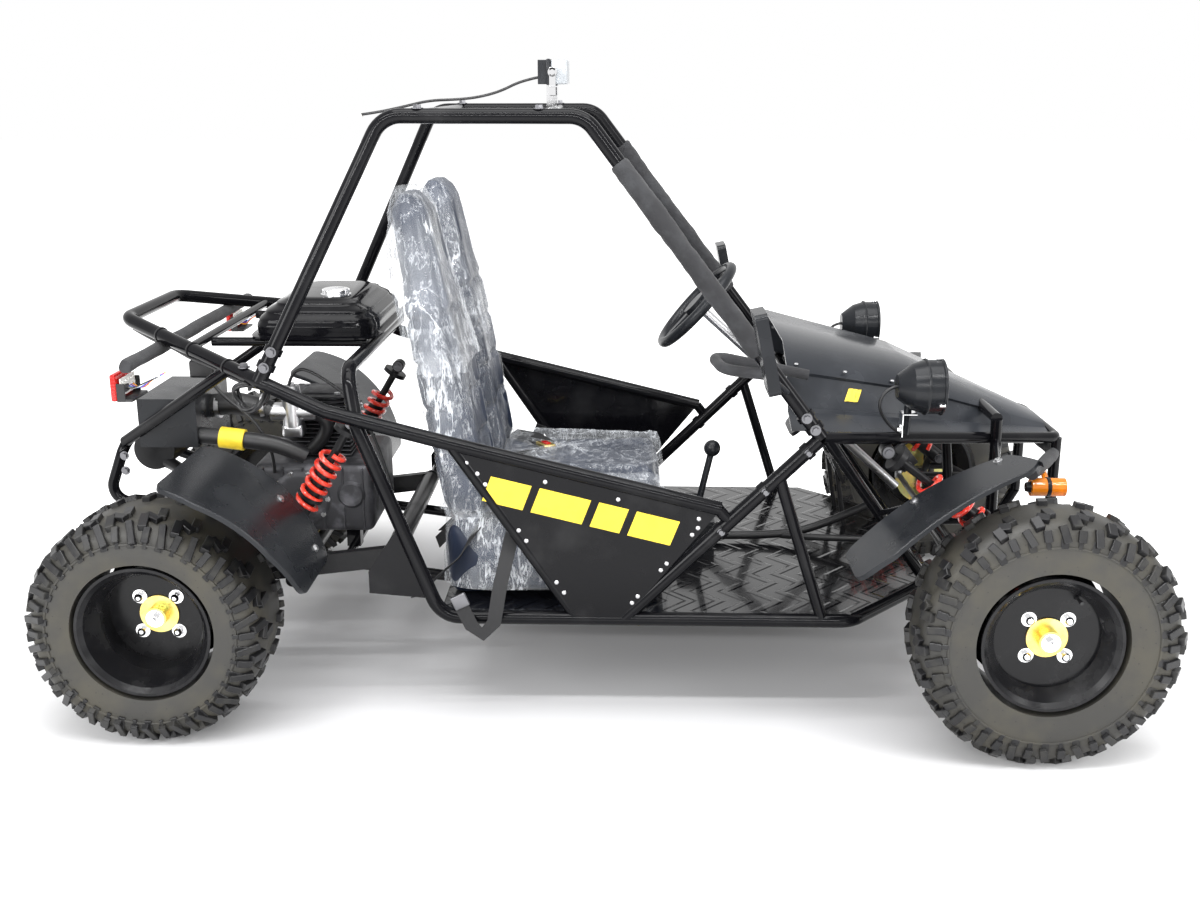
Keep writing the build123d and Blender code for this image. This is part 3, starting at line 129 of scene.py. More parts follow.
class Finish:
    """A material on one Principled shader. Constants sit on its sockets."""

    def __init__(self, name, colour, roughness=0.5, metallic=0.0, **constants):
        self.material = bpy.data.materials.new(name)
        self.material.use_nodes = True
        self.tree = self.material.node_tree
        self.shader = self.tree.nodes["Principled BSDF"]
        self.shader.inputs["Base Color"].default_value = (*colour, 1.0)
        self.shader.inputs["Roughness"].default_value = roughness
        self.shader.inputs["Metallic"].default_value = metallic
        for socket, value in constants.items():
            self.shader.inputs[socket.replace("_", " ")].default_value = value
        self.bumps = None

    def node(self, kind, settings=None, *values, output=0, **named):
        made = self.tree.nodes.new(kind)
        for key, value in (settings or {}).items():
            setattr(made, key, value)
        pairs = list(enumerate(values)) + [(k.replace("_", " "), v) for k, v in named.items()]
        for key, value in pairs:
            if isinstance(value, Wire):
                self.tree.links.new(value.socket, made.inputs[key])
            elif value is not None:
                made.inputs[key].default_value = value
        return Wire(self, made.outputs[output])

    def place(self, centre=(0, 0, 0), scale=(1, 1, 1)):
        """Object coordinates, moved so that centre is their zero, then scaled."""
        here = self.node("ShaderNodeTexCoord", output="Object")
        moved = self.node("ShaderNodeVectorMath", {"operation": "SUBTRACT"}, here, centre)
        return self.node("ShaderNodeVectorMath", {"operation": "MULTIPLY"}, moved, scale)

    def axis(self, index, centre=(0, 0, 0)):
        return self.node("ShaderNodeSeparateXYZ", None, self.place(centre), output=index)

    def grain(self, scale, detail=3.0, stretch=(1, 1, 1), roughness=0.55):
        return self.node(
            "ShaderNodeTexNoise", None, Vector=self.place(scale=stretch),
            Scale=scale, Detail=detail, Roughness=roughness,
        )

    def cells(self, scale):
        return self.node("ShaderNodeTexVoronoi", {"feature": "F1"}, Vector=self.place(), Scale=scale)

    def tint(self, low, high, mask):
        """A colour between two, by a mask from 0 to 1."""
        made = self.tree.nodes.new("ShaderNodeMix")
        made.data_type = "RGBA"
        for key, value in ((0, mask), (6, low), (7, high)):
            if isinstance(value, Wire):
                self.tree.links.new(value.socket, made.inputs[key])
            else:
                made.inputs[key].default_value = (*value, 1.0)
        return Wire(self, made.outputs[2])

    def feed(self, socket, wire):
        self.tree.links.new(wire.socket, self.shader.inputs[socket])
        return self

    def bump(self, height, strength, distance):
        made = self.tree.nodes.new("ShaderNodeBump")
        made.inputs["Strength"].default_value = strength
        made.inputs["Distance"].default_value = distance
        self.tree.links.new(height.socket, made.inputs["Height"])
        if self.bumps:
            self.tree.links.new(self.bumps.outputs[0], made.inputs["Normal"])
        self.bumps = made
        self.tree.links.new(made.outputs[0], self.shader.inputs["Normal"])
        return self


# Finishes
def black_gloss(name, colour=(0.004, 0.004, 0.005)):
    """Gloss powder coat: faint orange peel and patches of dust."""
    paint = Finish(name, colour, 0.16, Specular_IOR_Level=0.09, Coat_Weight=0.10, Coat_Roughness=0.04)
    dust = paint.grain(9.0, 5.0).step(0.50, 0.80)
    paint.feed("Base Color", paint.tint(colour, (0.012, 0.012, 0.013), dust))
    paint.feed("Roughness", 0.12 + 0.12 * dust)
    return paint.bump(paint.grain(420.0, 2.0), 0.06, 0.0006).material


def satin_black(name, colour=(0.008, 0.008, 0.009), roughness=0.34):
    paint = Finish(name, colour, roughness, Specular_IOR_Level=0.20)
    wear = paint.grain(14.0, 6.0).step(0.45, 0.70)
    paint.feed("Base Color", paint.tint(colour, tuple(c + 0.008 for c in colour), wear))
    paint.feed("Roughness", roughness - 0.05 + 0.14 * wear)
    return paint.bump(paint.grain(600.0, 2.0), 0.10, 0.0005).material


def bare_steel(name, colour=(0.56, 0.56, 0.57), roughness=0.28):
    steel = Finish(name, colour, roughness, 1.0)
    brushed = steel.grain(90.0, 4.0, stretch=(1, 8, 1))
    steel.feed("Roughness", roughness - 0.08 + 0.22 * brushed)
    return steel.bump(brushed, 0.08, 0.0004).material


def yellow_zinc(name):
    """Yellow chromate on zinc: gold with green and pink drifts."""
    zinc = Finish(name, (0.70, 0.50, 0.16), 0.26, 1.0)
    drift = zinc.grain(26.0, 3.0)
    base = zinc.tint((0.80, 0.58, 0.16), (0.62, 0.60, 0.24), drift.step(0.40, 0.62))
    zinc.feed("Base Color", zinc.tint(base, (0.70, 0.40, 0.22), zinc.grain(60.0).step(0.58, 0.75)))
    zinc.feed("Roughness", 0.20 + 0.18 * drift)
    return zinc.bump(zinc.grain(300.0), 0.08, 0.0004).material


def chrome(name):
    plate = Finish(name, (0.86, 0.86, 0.87), 0.07, 1.0)
    return plate.feed("Roughness", 0.05 + 0.10 * plate.grain(30.0).step(0.5, 0.8)).material


def tread_rubber(name):
    """Moulded rubber, dark and a little shiny."""
    rubber = Finish(name, (0.014, 0.014, 0.015), 0.42, Specular_IOR_Level=0.35)
    dust = rubber.grain(24.0, 6.0).step(0.45, 0.72)
    rubber.feed("Base Color", rubber.tint((0.010, 0.010, 0.011), (0.028, 0.027, 0.024), dust))
    rubber.feed("Roughness", 0.34 + 0.24 * dust)
    return rubber.bump(rubber.grain(260.0, 3.0), 0.20, 0.0006).material


def wall_rubber(name):
    """Side wall: matte, browned by storage, with moulding specks and scuffs."""
    rubber = Finish(name, (0.036, 0.034, 0.028), 0.62)
    stain = rubber.grain(11.0, 6.0).step(0.38, 0.70)
    speck = rubber.cells(75.0).step(0.05, 0.16)
    bloom = rubber.tint((0.023, 0.022, 0.019), (0.048, 0.044, 0.033), stain)
    rubber.feed("Base Color", rubber.tint((0.012, 0.012, 0.011), bloom, speck))
    rubber.feed("Roughness", 0.50 + 0.20 * stain)
    rubber.bump(rubber.grain(340.0, 4.0), 0.18, 0.0005)
    return rubber.bump(speck, 0.25, 0.0006).material


def moulded_plastic(name, colour, roughness=0.42, peel=0.14):
    """Injection moulded: fine leather texture and dull patches."""
    plastic = Finish(name, colour, roughness, Specular_IOR_Level=0.22)
    haze = plastic.grain(6.0, 4.0).step(0.40, 0.72)
    lighter = tuple(c * 1.5 + 0.004 for c in colour)
    plastic.feed("Base Color", plastic.tint(colour, lighter, haze))
    plastic.feed("Roughness", roughness - 0.06 + 0.14 * haze)
    return plastic.bump(plastic.cells(900.0), peel, 0.0004).material


def closed_foam(name):
    """Pipe foam: matte skin with pores and long soft creases."""
    foam = Finish(name, (0.012, 0.012, 0.014), 0.85, Sheen_Weight=0.08, Sheen_Roughness=0.6)
    crease = foam.grain(22.0, 5.0)
    foam.feed("Base Color", foam.tint((0.009, 0.009, 0.011), (0.024, 0.025, 0.028), crease.step(0.4, 0.7)))
    foam.bump(crease, 0.35, 0.003)
    return foam.bump(foam.cells(1400.0), 0.30, 0.0005).material


def spring_paint(name):
    paint = Finish(name, (0.72, 0.035, 0.020), 0.22, Coat_Weight=0.5, Coat_Roughness=0.08)
    fade = paint.grain(20.0, 3.0).step(0.40, 0.70)
    paint.feed("Base Color", paint.tint((0.78, 0.05, 0.025), (0.55, 0.02, 0.015), fade))
    return paint.bump(paint.grain(500.0), 0.06, 0.0004).material


def cast_metal(name, colour=(0.05, 0.05, 0.055), roughness=0.5):
    """Sand cast alloy under thin black paint."""
    cast = Finish(name, colour, roughness, 0.55)
    rough = cast.grain(240.0, 4.0)
    rub = cast.grain(18.0, 5.0).step(0.50, 0.72)
    cast.feed("Base Color", cast.tint(colour, tuple(3.0 * c for c in colour), rub))
    cast.feed("Roughness", roughness - 0.10 + 0.20 * rough)
    return cast.bump(rough, 0.35, 0.0008).material


def lens_plastic(name, colour, roughness=0.06, weight=0.85):
    """Clear or tinted lens with fine flutes."""
    lens = Finish(name, colour, roughness, Transmission_Weight=weight, IOR=1.49)
    flutes = (lens.axis(2) * 900.0).sine()
    return lens.bump(flutes, 0.22, 0.0006).material


def wrap_film(name):
    """Thin clear bag film: faint, with broken bright streaks that run mostly downwards: painted
    highlights, where the pale film is drawn more opaque.
    """
    film = Finish(name, (0.80, 0.83, 0.87), 0.12, Specular_IOR_Level=0.8)
    wide = film.grain(5.0, 5.0, stretch=(2.6, 2.6, 0.55), roughness=0.60)
    fine = film.grain(15.0, 5.0, stretch=(2.0, 2.0, 0.8), roughness=0.65)
    glint_streak = 1.0 - (wide - 0.5).absolute().step(0.0, 0.020)
    glint_crinkle = 1.0 - (fine - 0.5).absolute().step(0.0, 0.030)
    patch = film.grain(4.0, 3.0).step(0.44, 0.60)
    # Painted highlights: the streaks and crinkle lines make the pale film more opaque, so they show
    # bright, with the film's real gloss on them; the patchy haze is the film's own.
    film.feed("Alpha", 0.09 + 0.09 * patch + 0.55 * glint_streak * patch + 0.22 * glint_crinkle)
    film.bump(wide, 0.8, 0.010)
    return film.bump(fine, 0.6, 0.004).material


def plain(name, colour, roughness=0.45):
    """Small coloured things: wires, tape and marks."""
    paint = Finish(name, colour, roughness)
    fade = paint.grain(40.0).step(0.4, 0.7)
    return paint.feed("Base Color", paint.tint(colour, tuple(0.82 * c for c in colour), fade)).material


def woven_webbing(name):
    web = Finish(name, (0.010, 0.010, 0.011), 0.75)
    ribs = (web.axis(0) * 2200.0).sine() * (web.axis(1) * 2200.0).sine()
    return web.bump(ribs, 0.35, 0.0004).material


def tread_plate(name):
    """Black gloss sheet pressed with chevrons."""
    plate = Finish(name, (0.004, 0.004, 0.005), 0.14, Specular_IOR_Level=0.35, Coat_Weight=0.3)
    zigzag = (plate.axis(1) * 9.0).wave() - 0.5
    rows = ((plate.axis(0) * 16.0 + zigzag.absolute() * 1.6) * 6.2832).sine()
    return plate.bump(rows.step(0.0, 0.8), 0.6, 0.004).material


def jacket(name):
    """Cable and strap black."""
    cover = Finish(name, (0.008, 0.008, 0.009), 0.40)
    rub = cover.grain(120.0, 4.0)
    cover.feed("Roughness", 0.32 + 0.20 * rub)
    return cover.bump(rub, 0.12, 0.0003).material


FINISHES = {
    "frame_paint": black_gloss("frame_paint"),
    "tank_paint": black_gloss("tank_paint", (0.003, 0.003, 0.004)),
    "chassis_black": satin_black("chassis_black"),
    "rim_black": satin_black("rim_black", (0.007, 0.007, 0.008), 0.26),
    "bare_steel": bare_steel("bare_steel"),
    "dark_steel": bare_steel("dark_steel", (0.16, 0.16, 0.17), 0.34),
    "gold_zinc": yellow_zinc("gold_zinc"),
    "chrome_trim": chrome("chrome_trim"),
    "tyre_rubber": tread_rubber("tyre_rubber"),
    "tyre_wall": wall_rubber("tyre_wall"),
    "black_plastic": moulded_plastic("black_plastic", (0.009, 0.010, 0.012), 0.30),
    "hood_plastic": moulded_plastic("hood_plastic", (0.020, 0.022, 0.026), 0.26, 0.04),
    "foam": closed_foam("foam"),
    "spring_red": spring_paint("spring_red"),
    "engine_alloy": cast_metal("engine_alloy"),
    "clear_lens": lens_plastic("clear_lens", (0.92, 0.95, 0.97)),
    "red_lens": lens_plastic("red_lens", (0.62, 0.015, 0.012), 0.10, 0.35),
    "amber_lens": lens_plastic("amber_lens", (0.95, 0.28, 0.015), 0.10, 0.45),
    "cable_black": jacket("cable_black"),
    "clear_film": wrap_film("clear_film"),
    "reflector": plain("reflector", (0.36, 0.38, 0.40), 0.25),
    "webbing": woven_webbing("webbing"),
    "tread_plate": tread_plate("tread_plate"),
    "yellow_mark": plain("yellow_mark", (0.85, 0.62, 0.03)),
    "orange_wire": plain("orange_wire", (0.85, 0.30, 0.03)),
    "purple_wire": plain("purple_wire", (0.30, 0.08, 0.42)),
    "blue_wire": plain("blue_wire", (0.05, 0.18, 0.60)),
    "white_plastic": moulded_plastic("white_plastic", (0.74, 0.74, 0.71), 0.40, 0.05),
    "seat_vinyl": moulded_plastic("seat_vinyl", (0.016, 0.022, 0.040), 0.42, 0.30),
}

SPECIAL = {"floor_pan": "tread_plate"}    # nodes whose finish shows more than their slot's

for part in frame["record"]["subparts"]:
    skin = frame["nodes"][part["node"]].data
    skin.materials.clear()
    skin.materials.append(FINISHES[SPECIAL.get(part["node"], part["material_slot"])])


# Modelling: one shape gathers what a piece is made of, then becomes the piece
SHARP_ANGLE = math.radians(34.0)


def toward(direction, up="Y"):
    return direction.to_track_quat("Z", up).to_matrix().to_4x4()


class Shape:
    def __init__(self):
        self.mesh = bmesh.new()

    def _mark(self, before, material):
        for face in self.mesh.faces:
            if face not in before:
                face.material_index = material

    def block(self, size, place, bevel=0.0, segments=2, material=0):
        """A box with rounded edges, centred on a point, or set by a matrix where it is turned."""
        before = set(self.mesh.faces)
        place = place if isinstance(place, Matrix) else Matrix.Translation(place)
        scale = Matrix.Diagonal((*size, 1.0))
        made = bmesh.ops.create_cube(self.mesh, size=1.0, matrix=place @ scale)
        if bevel:
            edges = {edge for vert in made["verts"] for edge in vert.link_edges}
            bmesh.ops.bevel(
                self.mesh, geom=list(edges), offset=bevel, offset_type="OFFSET", affect="EDGES",
                segments=segments, profile=0.5, material=-1,
            )
        self._mark(before, material)
        return self

    def rod(self, start, end, radius, end_radius=None, steps=20, material=0):
        before = set(self.mesh.faces)
        start, end = Vector(start), Vector(end)
        place = Matrix.Translation((start + end) / 2) @ toward(end - start)
        bmesh.ops.create_cone(
            self.mesh, cap_ends=True, segments=steps, radius1=radius,
            radius2=radius if end_radius is None else end_radius,
            depth=(end - start).length, matrix=place,
        )
        self._mark(before, material)
        return self

    def stack(self, foot, axis, rows, material=0):
        """Rods end to end on an axis, from rows of (start, end, both radii, sides)."""
        for start, end, radius, end_radius, steps in rows:
            self.rod(foot + axis * start, foot + axis * end, radius, end_radius, steps, material)
        return self

    def turned(self, profile, place, steps=48, material=0):
        """A profile of (radius, height) turned about the place's own Z axis."""
        before = set(self.mesh.faces)
        verts = [self.mesh.verts.new(place @ Vector((radius, 0.0, height))) for radius, height in profile]
        edges = [self.mesh.edges.new(pair) for pair in zip(verts, verts[1:])]
        bmesh.ops.spin(
            self.mesh, geom=verts + edges, cent=place.translation, axis=place.to_3x3() @ Vector((0, 0, 1)),
            angle=2 * math.pi, steps=steps, use_merge=True, use_duplicate=False,
        )
        self._mark(before, material)
        return self

    def ball(self, centre, radius, steps=16, material=0, stretch=(1, 1, 1)):
        before = set(self.mesh.faces)
        place = Matrix.Translation(centre) @ Matrix.Diagonal((*stretch, 1.0))
        bmesh.ops.create_uvsphere(
            self.mesh, u_segments=steps, v_segments=steps // 2, radius=radius, matrix=place
        )
        self._mark(before, material)
        return self

    def wire(self, points, radius, closed=False, steps=4, material=0):
        """A round wire along given points, rounded where it turns."""
        before = set(self.mesh.faces)
        line = curve_along("wire", points, radius, closed, steps)
        self.mesh.from_mesh(mesh_of(line))
        bpy.data.objects.remove(line)
        self._mark(before, material)
        return self

    def skin(self, surface, around, along, caps="", material=0):
        """Faces round surface(u, v), with u and v from 0 to 1. caps names the ends that are filled."""
        before = set(self.mesh.faces)
        rows = [
            [self.mesh.verts.new(surface(i / around, j / along)) for i in range(around)]
            for j in range(along + 1)
        ]
        for low, high in zip(rows, rows[1:]):
            for i in range(around):
                k = (i + 1) % around
                self.mesh.faces.new((low[i], low[k], high[k], high[i]))
        if "low" in caps:
            self.mesh.faces.new(rows[0][::-1])
        if "high" in caps:
            self.mesh.faces.new(rows[-1])
        self._mark(before, material)
        return self

    def loft(self, rings, material=0):
        """A skin through rings of points, with both ends filled."""
        count, last = len(rings[0]), len(rings) - 1

        def surface(u, v):
            return rings[round(v * last)][round(u * count) % count]
        return self.skin(surface, count, last, "low high", material)

    def hexagon(self, centre, axis, radius, height, material=0):
        """A hex nut or bolt head with a small washer under it."""
        axis = Vector(axis).normalized()
        centre = Vector(centre)
        self.rod(centre, centre + axis * height * 0.25, radius * 1.45, steps=20, material=material)
        return self.rod(
            centre + axis * height * 0.25, centre + axis * height, radius, radius * 0.93, 6, material
        )

    def piece(self, name, finishes, body="frame", slot=None):
        """The object: closed, facing outwards, smooth up to the sharp angle, on its body. The slot is not
        used.
        """
        bmesh.ops.remove_doubles(self.mesh, verts=self.mesh.verts, dist=1e-6)
        bmesh.ops.recalc_face_normals(self.mesh, faces=self.mesh.faces)
        for face in self.mesh.faces:
            face.smooth = True
        for edge in self.mesh.edges:
            edge.smooth = edge.is_manifold and edge.calc_face_angle(0.0) < SHARP_ANGLE
        mesh = bpy.data.meshes.new(name)
        self.mesh.to_mesh(mesh)
        self.mesh.free()
        for finish in finishes:
            mesh.materials.append(FINISHES[finish])
        made = bpy.data.objects.new(name, mesh)
        bpy.context.scene.collection.objects.link(made)
        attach(made, body)
        return made


def curve_along(name, points, radius, closed=False, steps=4):
    line = bpy.data.curves.new(name, "CURVE")
    line.dimensions = "3D"
    line.bevel_depth = radius
    line.bevel_resolution = steps
    line.use_fill_caps = not closed
    spline = line.splines.new("NURBS")
    spline.points.add(len(points) - 1)
    for knot, point in zip(spline.points, points):
        knot.co = (*point, 1.0)
    spline.order_u = 3
    spline.use_endpoint_u = not closed
    spline.use_cyclic_u = closed
    spline.resolution_u = 6
    made = bpy.data.objects.new(name, line)
    bpy.context.scene.collection.objects.link(made)
    return made


def mesh_of(made):
    """The mesh that a curve or a modified object shows as."""
    graph = bpy.context.evaluated_depsgraph_get()
    graph.update()
    return bpy.data.meshes.new_from_object(made.evaluated_get(graph))


# Roof lamp's cable: the same route points as its solid
CABLE_R = 0.003
CABLE_ROUTE = (  # from the rear axle, the middle and the ground
    (0.77615, 0.000, 1.3320),
    (0.7350, 0.002, 1.3240),
    (0.6880, 0.007, 1.3010),
    (0.6360, 0.005, 1.2880),
    (0.5880, -0.003, 1.2835),
    (0.5300, -0.008, 1.2820),
    (0.4700, -0.004, 1.2680),
    (0.4120, 0.003, 1.2560),
    (0.3740, 0.006, 1.2510),
)


def roof_cable():
    points = [(REAR_AXLE_X + x, y, z) for x, y, z in CABLE_ROUTE]
    cable = curve_along("roof_lamp_cable", points, CABLE_R)
    cable.data.materials.append(FINISHES["cable_black"])
    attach(cable, "frame")
    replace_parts(cable, "roof_cable")


roof_cable()


# Tyres: balloon carcass, zigzag lugs on the crown, tabs down to a rib on the side wall
SECTION_STEPS = 30
CROWN_POWER = 0.50           # how square the section is
WALL_POWER = 0.62            # how soon the side wall reaches its full radius
BEAD_PINCH_SHARE = 0.26      # how much narrower the section is at the bead
PINCH_POWER = 0.35
LUG_H = 0.0094
BEAD_TUCK = 0.006            # how far the beads reach inside the rim's edge
BEAD_END = 0.012             # share of the section that the rim hides at each bead
RIB_SHARES = (0.135, 0.865)
RIB_RISE, RIB_HALF_W = 0.003, 0.0028
ZIGZAG_COUNT = 22
ZIGZAG_ROWS = ((0, 0.40, 1), (1, 0.60, -1))         # offset along, share across, lean
ZIGZAG_BARS = ((-1, 0.15, 0.155), (0, 1.15, 0.1395), (1, 0.15, 0.155))   # step, turn, length share
BAR_ACROSS, BAR_ALONG = 0.050, 0.055                # of a bar's step: share across, and radians
TAB_COUNT = 44
TAB_ROWS = ((0.225, 0.165, 1), (0.775, 0.835, -1))  # share across, its foot's share, lean
TABS = (                     # shift of the share, length share, foot's width share, turn
    (0.0, 0.13, 0.12, 0.0),
    (0.012, 0.20, 0.20, 0.25),
)
BAR_W, TAB_W = 0.25, 0.20    # shares of a zigzag's pitch
TAB_FOOT = 0.12              # share of the tyre's width
LUG_BEVEL = 0.0012


def section(radius, width, share):
    """A point (radius, height) of the carcass, with share 0 at one bead and 1 at the other."""
    turn = math.pi * share
    across, out = math.cos(turn), math.sin(turn)
    height = math.copysign(abs(across) ** CROWN_POWER, across) * width / 2
    height *= 1 - BEAD_PINCH_SHARE * (1 - out ** PINCH_POWER)
    bead_r = RIM_R - BEAD_TUCK
    return bead_r + (radius - LUG_H - bead_r) * out ** WALL_POWER, height


def lug_seat(radius, width, share, angle):
    """A place on the carcass: Z out of the rubber, Y along the roll, X across."""
    here, near = section(radius, width, share), section(radius, width, share + 0.004)
    across = Vector((near[0] - here[0], 0.0, near[1] - here[1])).normalized()
    along = Vector((0.0, 1.0, 0.0))
    out = across.cross(along)
    out = out if out.x > 0 else -out
    turn = Matrix((across, along, out)).transposed().to_4x4()
    foot = Matrix.Translation((here[0], 0.0, here[1]))
    return Matrix.Rotation(angle, 4, "Z") @ foot @ turn


def zigzags(shape, radius, width):
    pitch = 2 * math.pi * radius / ZIGZAG_COUNT
    for index in range(ZIGZAG_COUNT):
        for row, share, lean in ZIGZAG_ROWS:
            angle = 2 * math.pi * (index + 0.5 * row) / ZIGZAG_COUNT
            for step, turn, length in ZIGZAG_BARS:
                across, along = share - lean * step * BAR_ACROSS, angle + lean * step * BAR_ALONG
                bar = lug_seat(radius, width, across, along) @ Matrix.Rotation(lean * turn, 4, "Z")
                shape.block((width * length, pitch * BAR_W, 2 * LUG_H), bar, LUG_BEVEL, 1)


def tabs(shape, radius, width):
    """Short and long tabs by turns, each with a flat foot on the side wall."""
    pitch = 2 * math.pi * radius / ZIGZAG_COUNT
    for index in range(TAB_COUNT):
        shift, length, foot_w, turn = TABS[index % 2]
        for share, foot_share, lean in TAB_ROWS:
            angle = 2 * math.pi * (index + (0.5 if lean < 0 else 0)) / TAB_COUNT
            tab = lug_seat(radius, width, share + lean * shift, angle)
            tab @= Matrix.Rotation(turn * lean, 4, "Z")
            shape.block((width * length, pitch * TAB_W, 1.5 * LUG_H), tab, LUG_BEVEL, 1)
            foot = lug_seat(radius, width, foot_share, angle)
            shape.block((width * TAB_FOOT, pitch * foot_w, 0.5 * LUG_H), foot, 0.0010, 1)


def tyre(name, centre, radius, width, side, body):
    shares = [BEAD_END + (1 - 2 * BEAD_END) * i / SECTION_STEPS for i in range(SECTION_STEPS + 1)]
    profile = [section(radius, width, share) for share in shares]
    shape = Shape().turned(profile + profile[:1], Matrix(), 96, 1)
    for rib_share in RIB_SHARES:
        rib_r, rib_h = section(radius, width, rib_share)
        turns = [math.pi * i / 4 for i in range(9)]
        ring = [(rib_r + RIB_RISE * math.cos(a), rib_h + RIB_HALF_W * math.sin(a)) for a in turns]
        shape.turned(ring, Matrix(), 96, 1)
    zigzags(shape, radius, width)
    tabs(shape, radius, width)
    wheel = Matrix.Translation(centre) @ Matrix.Rotation(-side * math.pi / 2, 4, "X")
    bmesh.ops.transform(shape.mesh, matrix=wheel, verts=shape.mesh.verts)
    return shape.piece(name, ("tyre_rubber", "tyre_wall"), body)


def all_tyres():
    for name, side in SIDES:
        centre = Vector((FRONT_AXLE_X, side * FRONT_TRACK_HALF, FRONT_TYRE_R))
        front = tyre(f"tyre_front_{name}_tread", centre, FRONT_TYRE_R, FRONT_TYRE_W, side, f"wheel_{name}")
        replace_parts(front, f"tyre_front_{name}")
        centre = Vector((REAR_AXLE_X, side * REAR_TRACK_HALF, REAR_TYRE_R))
        rear = tyre(f"tyre_rear_{name}_tread", centre, REAR_TYRE_R, REAR_TYRE_W, side, "rear_axle_set")
        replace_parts(rear, "tyres_rear")


all_tyres()


# Frame points, as in the solids: shares of the wheelbase, the half width and the cage's height
BODY_HALF_W = 0.460
CAGE_H = 1.256
TUBE_R = 0.015
SMALL_TUBE_R = 0.0125
POINT_SHARES = {
    "rack_corner": (-0.0765, 0.365, 0.649),
    "hoop_foot": (0.127, 0.978, 0.585),
    "panel_rear": (0.341, 1.000, 0.485),
    "panel_front": (0.648, 1.000, 0.377),
    "panel_low": (0.484, 0.989, 0.182),
    "brace_low": (0.538, 0.989, 0.182),
    "roof_rear": (0.2687, 0.783, 1.000),
    "roof_front": (0.493, 0.870, 1.000),
    "dash": (0.760, 0.989, 0.497),
    "nose": (1.080, 0.300, 0.434),
    "bar_end": (1.022, 0.690, 0.434),
    "post_low": (0.770, 0.989, 0.180),
    "post_top": (0.712, 0.989, 0.440),
    "tail_top": (-0.086, 0.435, 0.430),
    "rear_shock_low": (0.137, 0.652, 0.307),
    "rear_shock_top": (0.212, 0.652, 0.488),
}


def spot(x, y, z):
    """A place measured from the rear axle, the middle and the ground."""
    return Vector((REAR_AXLE_X + x, y, z))


def by_shares(x, y, z):
    """A place given as shares of the wheelbase, the half width and the cage's height."""
    return spot(x * WHEELBASE, y * BODY_HALF_W, z * CAGE_H)


def at(name, side=1):
    """A point of the frame, on the left unless side is -1."""
    x, y, z = POINT_SHARES[name]
    return by_shares(x, side * y, z)


def node_box(node):
    """Two opposite corners of a solid's box."""
    return [Vector(corner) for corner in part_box(node)]


def both_sides(make):
    """What make gives on the left, with its mirror image on the right."""
    shape = make()
    source = shape.mesh.copy()
    bmesh.ops.transform(source, matrix=Matrix.Diagonal((1, -1, 1, 1)), verts=source.verts)
    bmesh.ops.reverse_faces(source, faces=source.faces)
    other = bpy.data.meshes.new("other_side")
    source.to_mesh(other)
    source.free()
    shape.mesh.from_mesh(other)
    bpy.data.meshes.remove(other)
    return shape


def rounded(u, half_x, half_y, power=0.4):
    """A point on a rounded rectangle, with u from 0 to 1 round it."""
    turn = 2 * math.pi * u
    c, s = math.cos(turn), math.sin(turn)
    return math.copysign(abs(c) ** power, c) * half_x, math.copysign(abs(s) ** power, s) * half_y


def ease(rows, share):
    """The values of a table's columns at a share, between rows of (share, value...)."""
    for low, high in zip(rows, rows[1:]):
        if share <= high[0]:
            part = (share - low[0]) / (high[0] - low[0])
            part = part * part * (3 - 2 * part)
            return [a + (b - a) * part for a, b in zip(low[1:], high[1:])]
    return list(rows[-1][1:])


# Seats: bucket backs and cushions, swelled by a cloth simulation, under loose clear film
SEAT_Y = 0.205
SEAT_FOOT_Z = 0.4125
SEAT_TOP_Z = 1.110
SEAT_FOOT_X = 0.632
SEAT_LEAN = 0.123
SEAT_BACK_ROWS = (           # height share, half width, half depth
    (0.00, 0.140, 0.046),
    (0.42, 0.158, 0.044),
    (0.62, 0.150, 0.041),
    (0.74, 0.116, 0.035),
    (0.92, 0.106, 0.031),
    (1.00, 0.070, 0.016),
)
CUSHION_LOW, CUSHION_HIGH = (0.586, -0.375, 0.246), (1.055, -0.035, 0.408)
CUSHION_ROUND = 0.026
SEAT_VOXEL = 0.006
SEAT_FRAMES = 20
SEAT_PRESSURE = 4.0
SEAT_TRIM = 0.004            # room for the swelling at the back's foot and top
BACK_REACH, CUSHION_REACH = 0.010, 0.009            # the furthest that a point swells
BOWL_DEPTH, BOWL_SHARE = 0.022, 0.6
CHANNEL_SHARES = (0.20, 0.34, 0.48, 0.62)           # up the back
CHANNEL_X = (0.72, 0.82, 0.92)                      # on the cushion
CHANNEL_HALF = 0.016


def back_surface(u, v, grow=0.0):
    half_w, half_d = ease(SEAT_BACK_ROWS, v)
    across, deep = rounded(u, half_w + grow, half_d + grow, 0.55)
    bowl = max(0.0, 1 - (across / (BOWL_SHARE * half_w)) ** 2) * (1 - v) if deep > 0 else 0.0
    x = SEAT_FOOT_X - SEAT_LEAN * v + deep - BOWL_DEPTH * bowl
    height = SEAT_TOP_Z - SEAT_FOOT_Z - 2 * SEAT_TRIM
    return spot(x, across - SEAT_Y, SEAT_FOOT_Z + SEAT_TRIM + height * v)


def swelled(made, reach):
    """The piece after a cloth simulation under pressure, no point moved further than reach."""
    remesh = made.modifiers.new("remesh", "REMESH")
    remesh.mode, remesh.voxel_size = "VOXEL", SEAT_VOXEL
    fine = mesh_of(made)
    made.modifiers.clear()
    made.data = fine
    rest = [vert.co.copy() for vert in fine.vertices]
    cloth = made.modifiers.new("cloth", "CLOTH")
    cloth.settings.use_pressure = True
    cloth.settings.uniform_pressure_force = SEAT_PRESSURE
    cloth.settings.effector_weights.gravity = 0.0
    for step in range(1, SEAT_FRAMES + 1):
        bpy.context.scene.frame_set(step)
    moved = mesh_of(made)
    made.modifiers.clear()
    bpy.context.scene.frame_set(1)
    for vert, start in zip(moved.vertices, rest):
        shift = vert.co - start
        if shift.length > reach:
            vert.co = start + shift.normalized() * reach
    made.data = moved
    return made


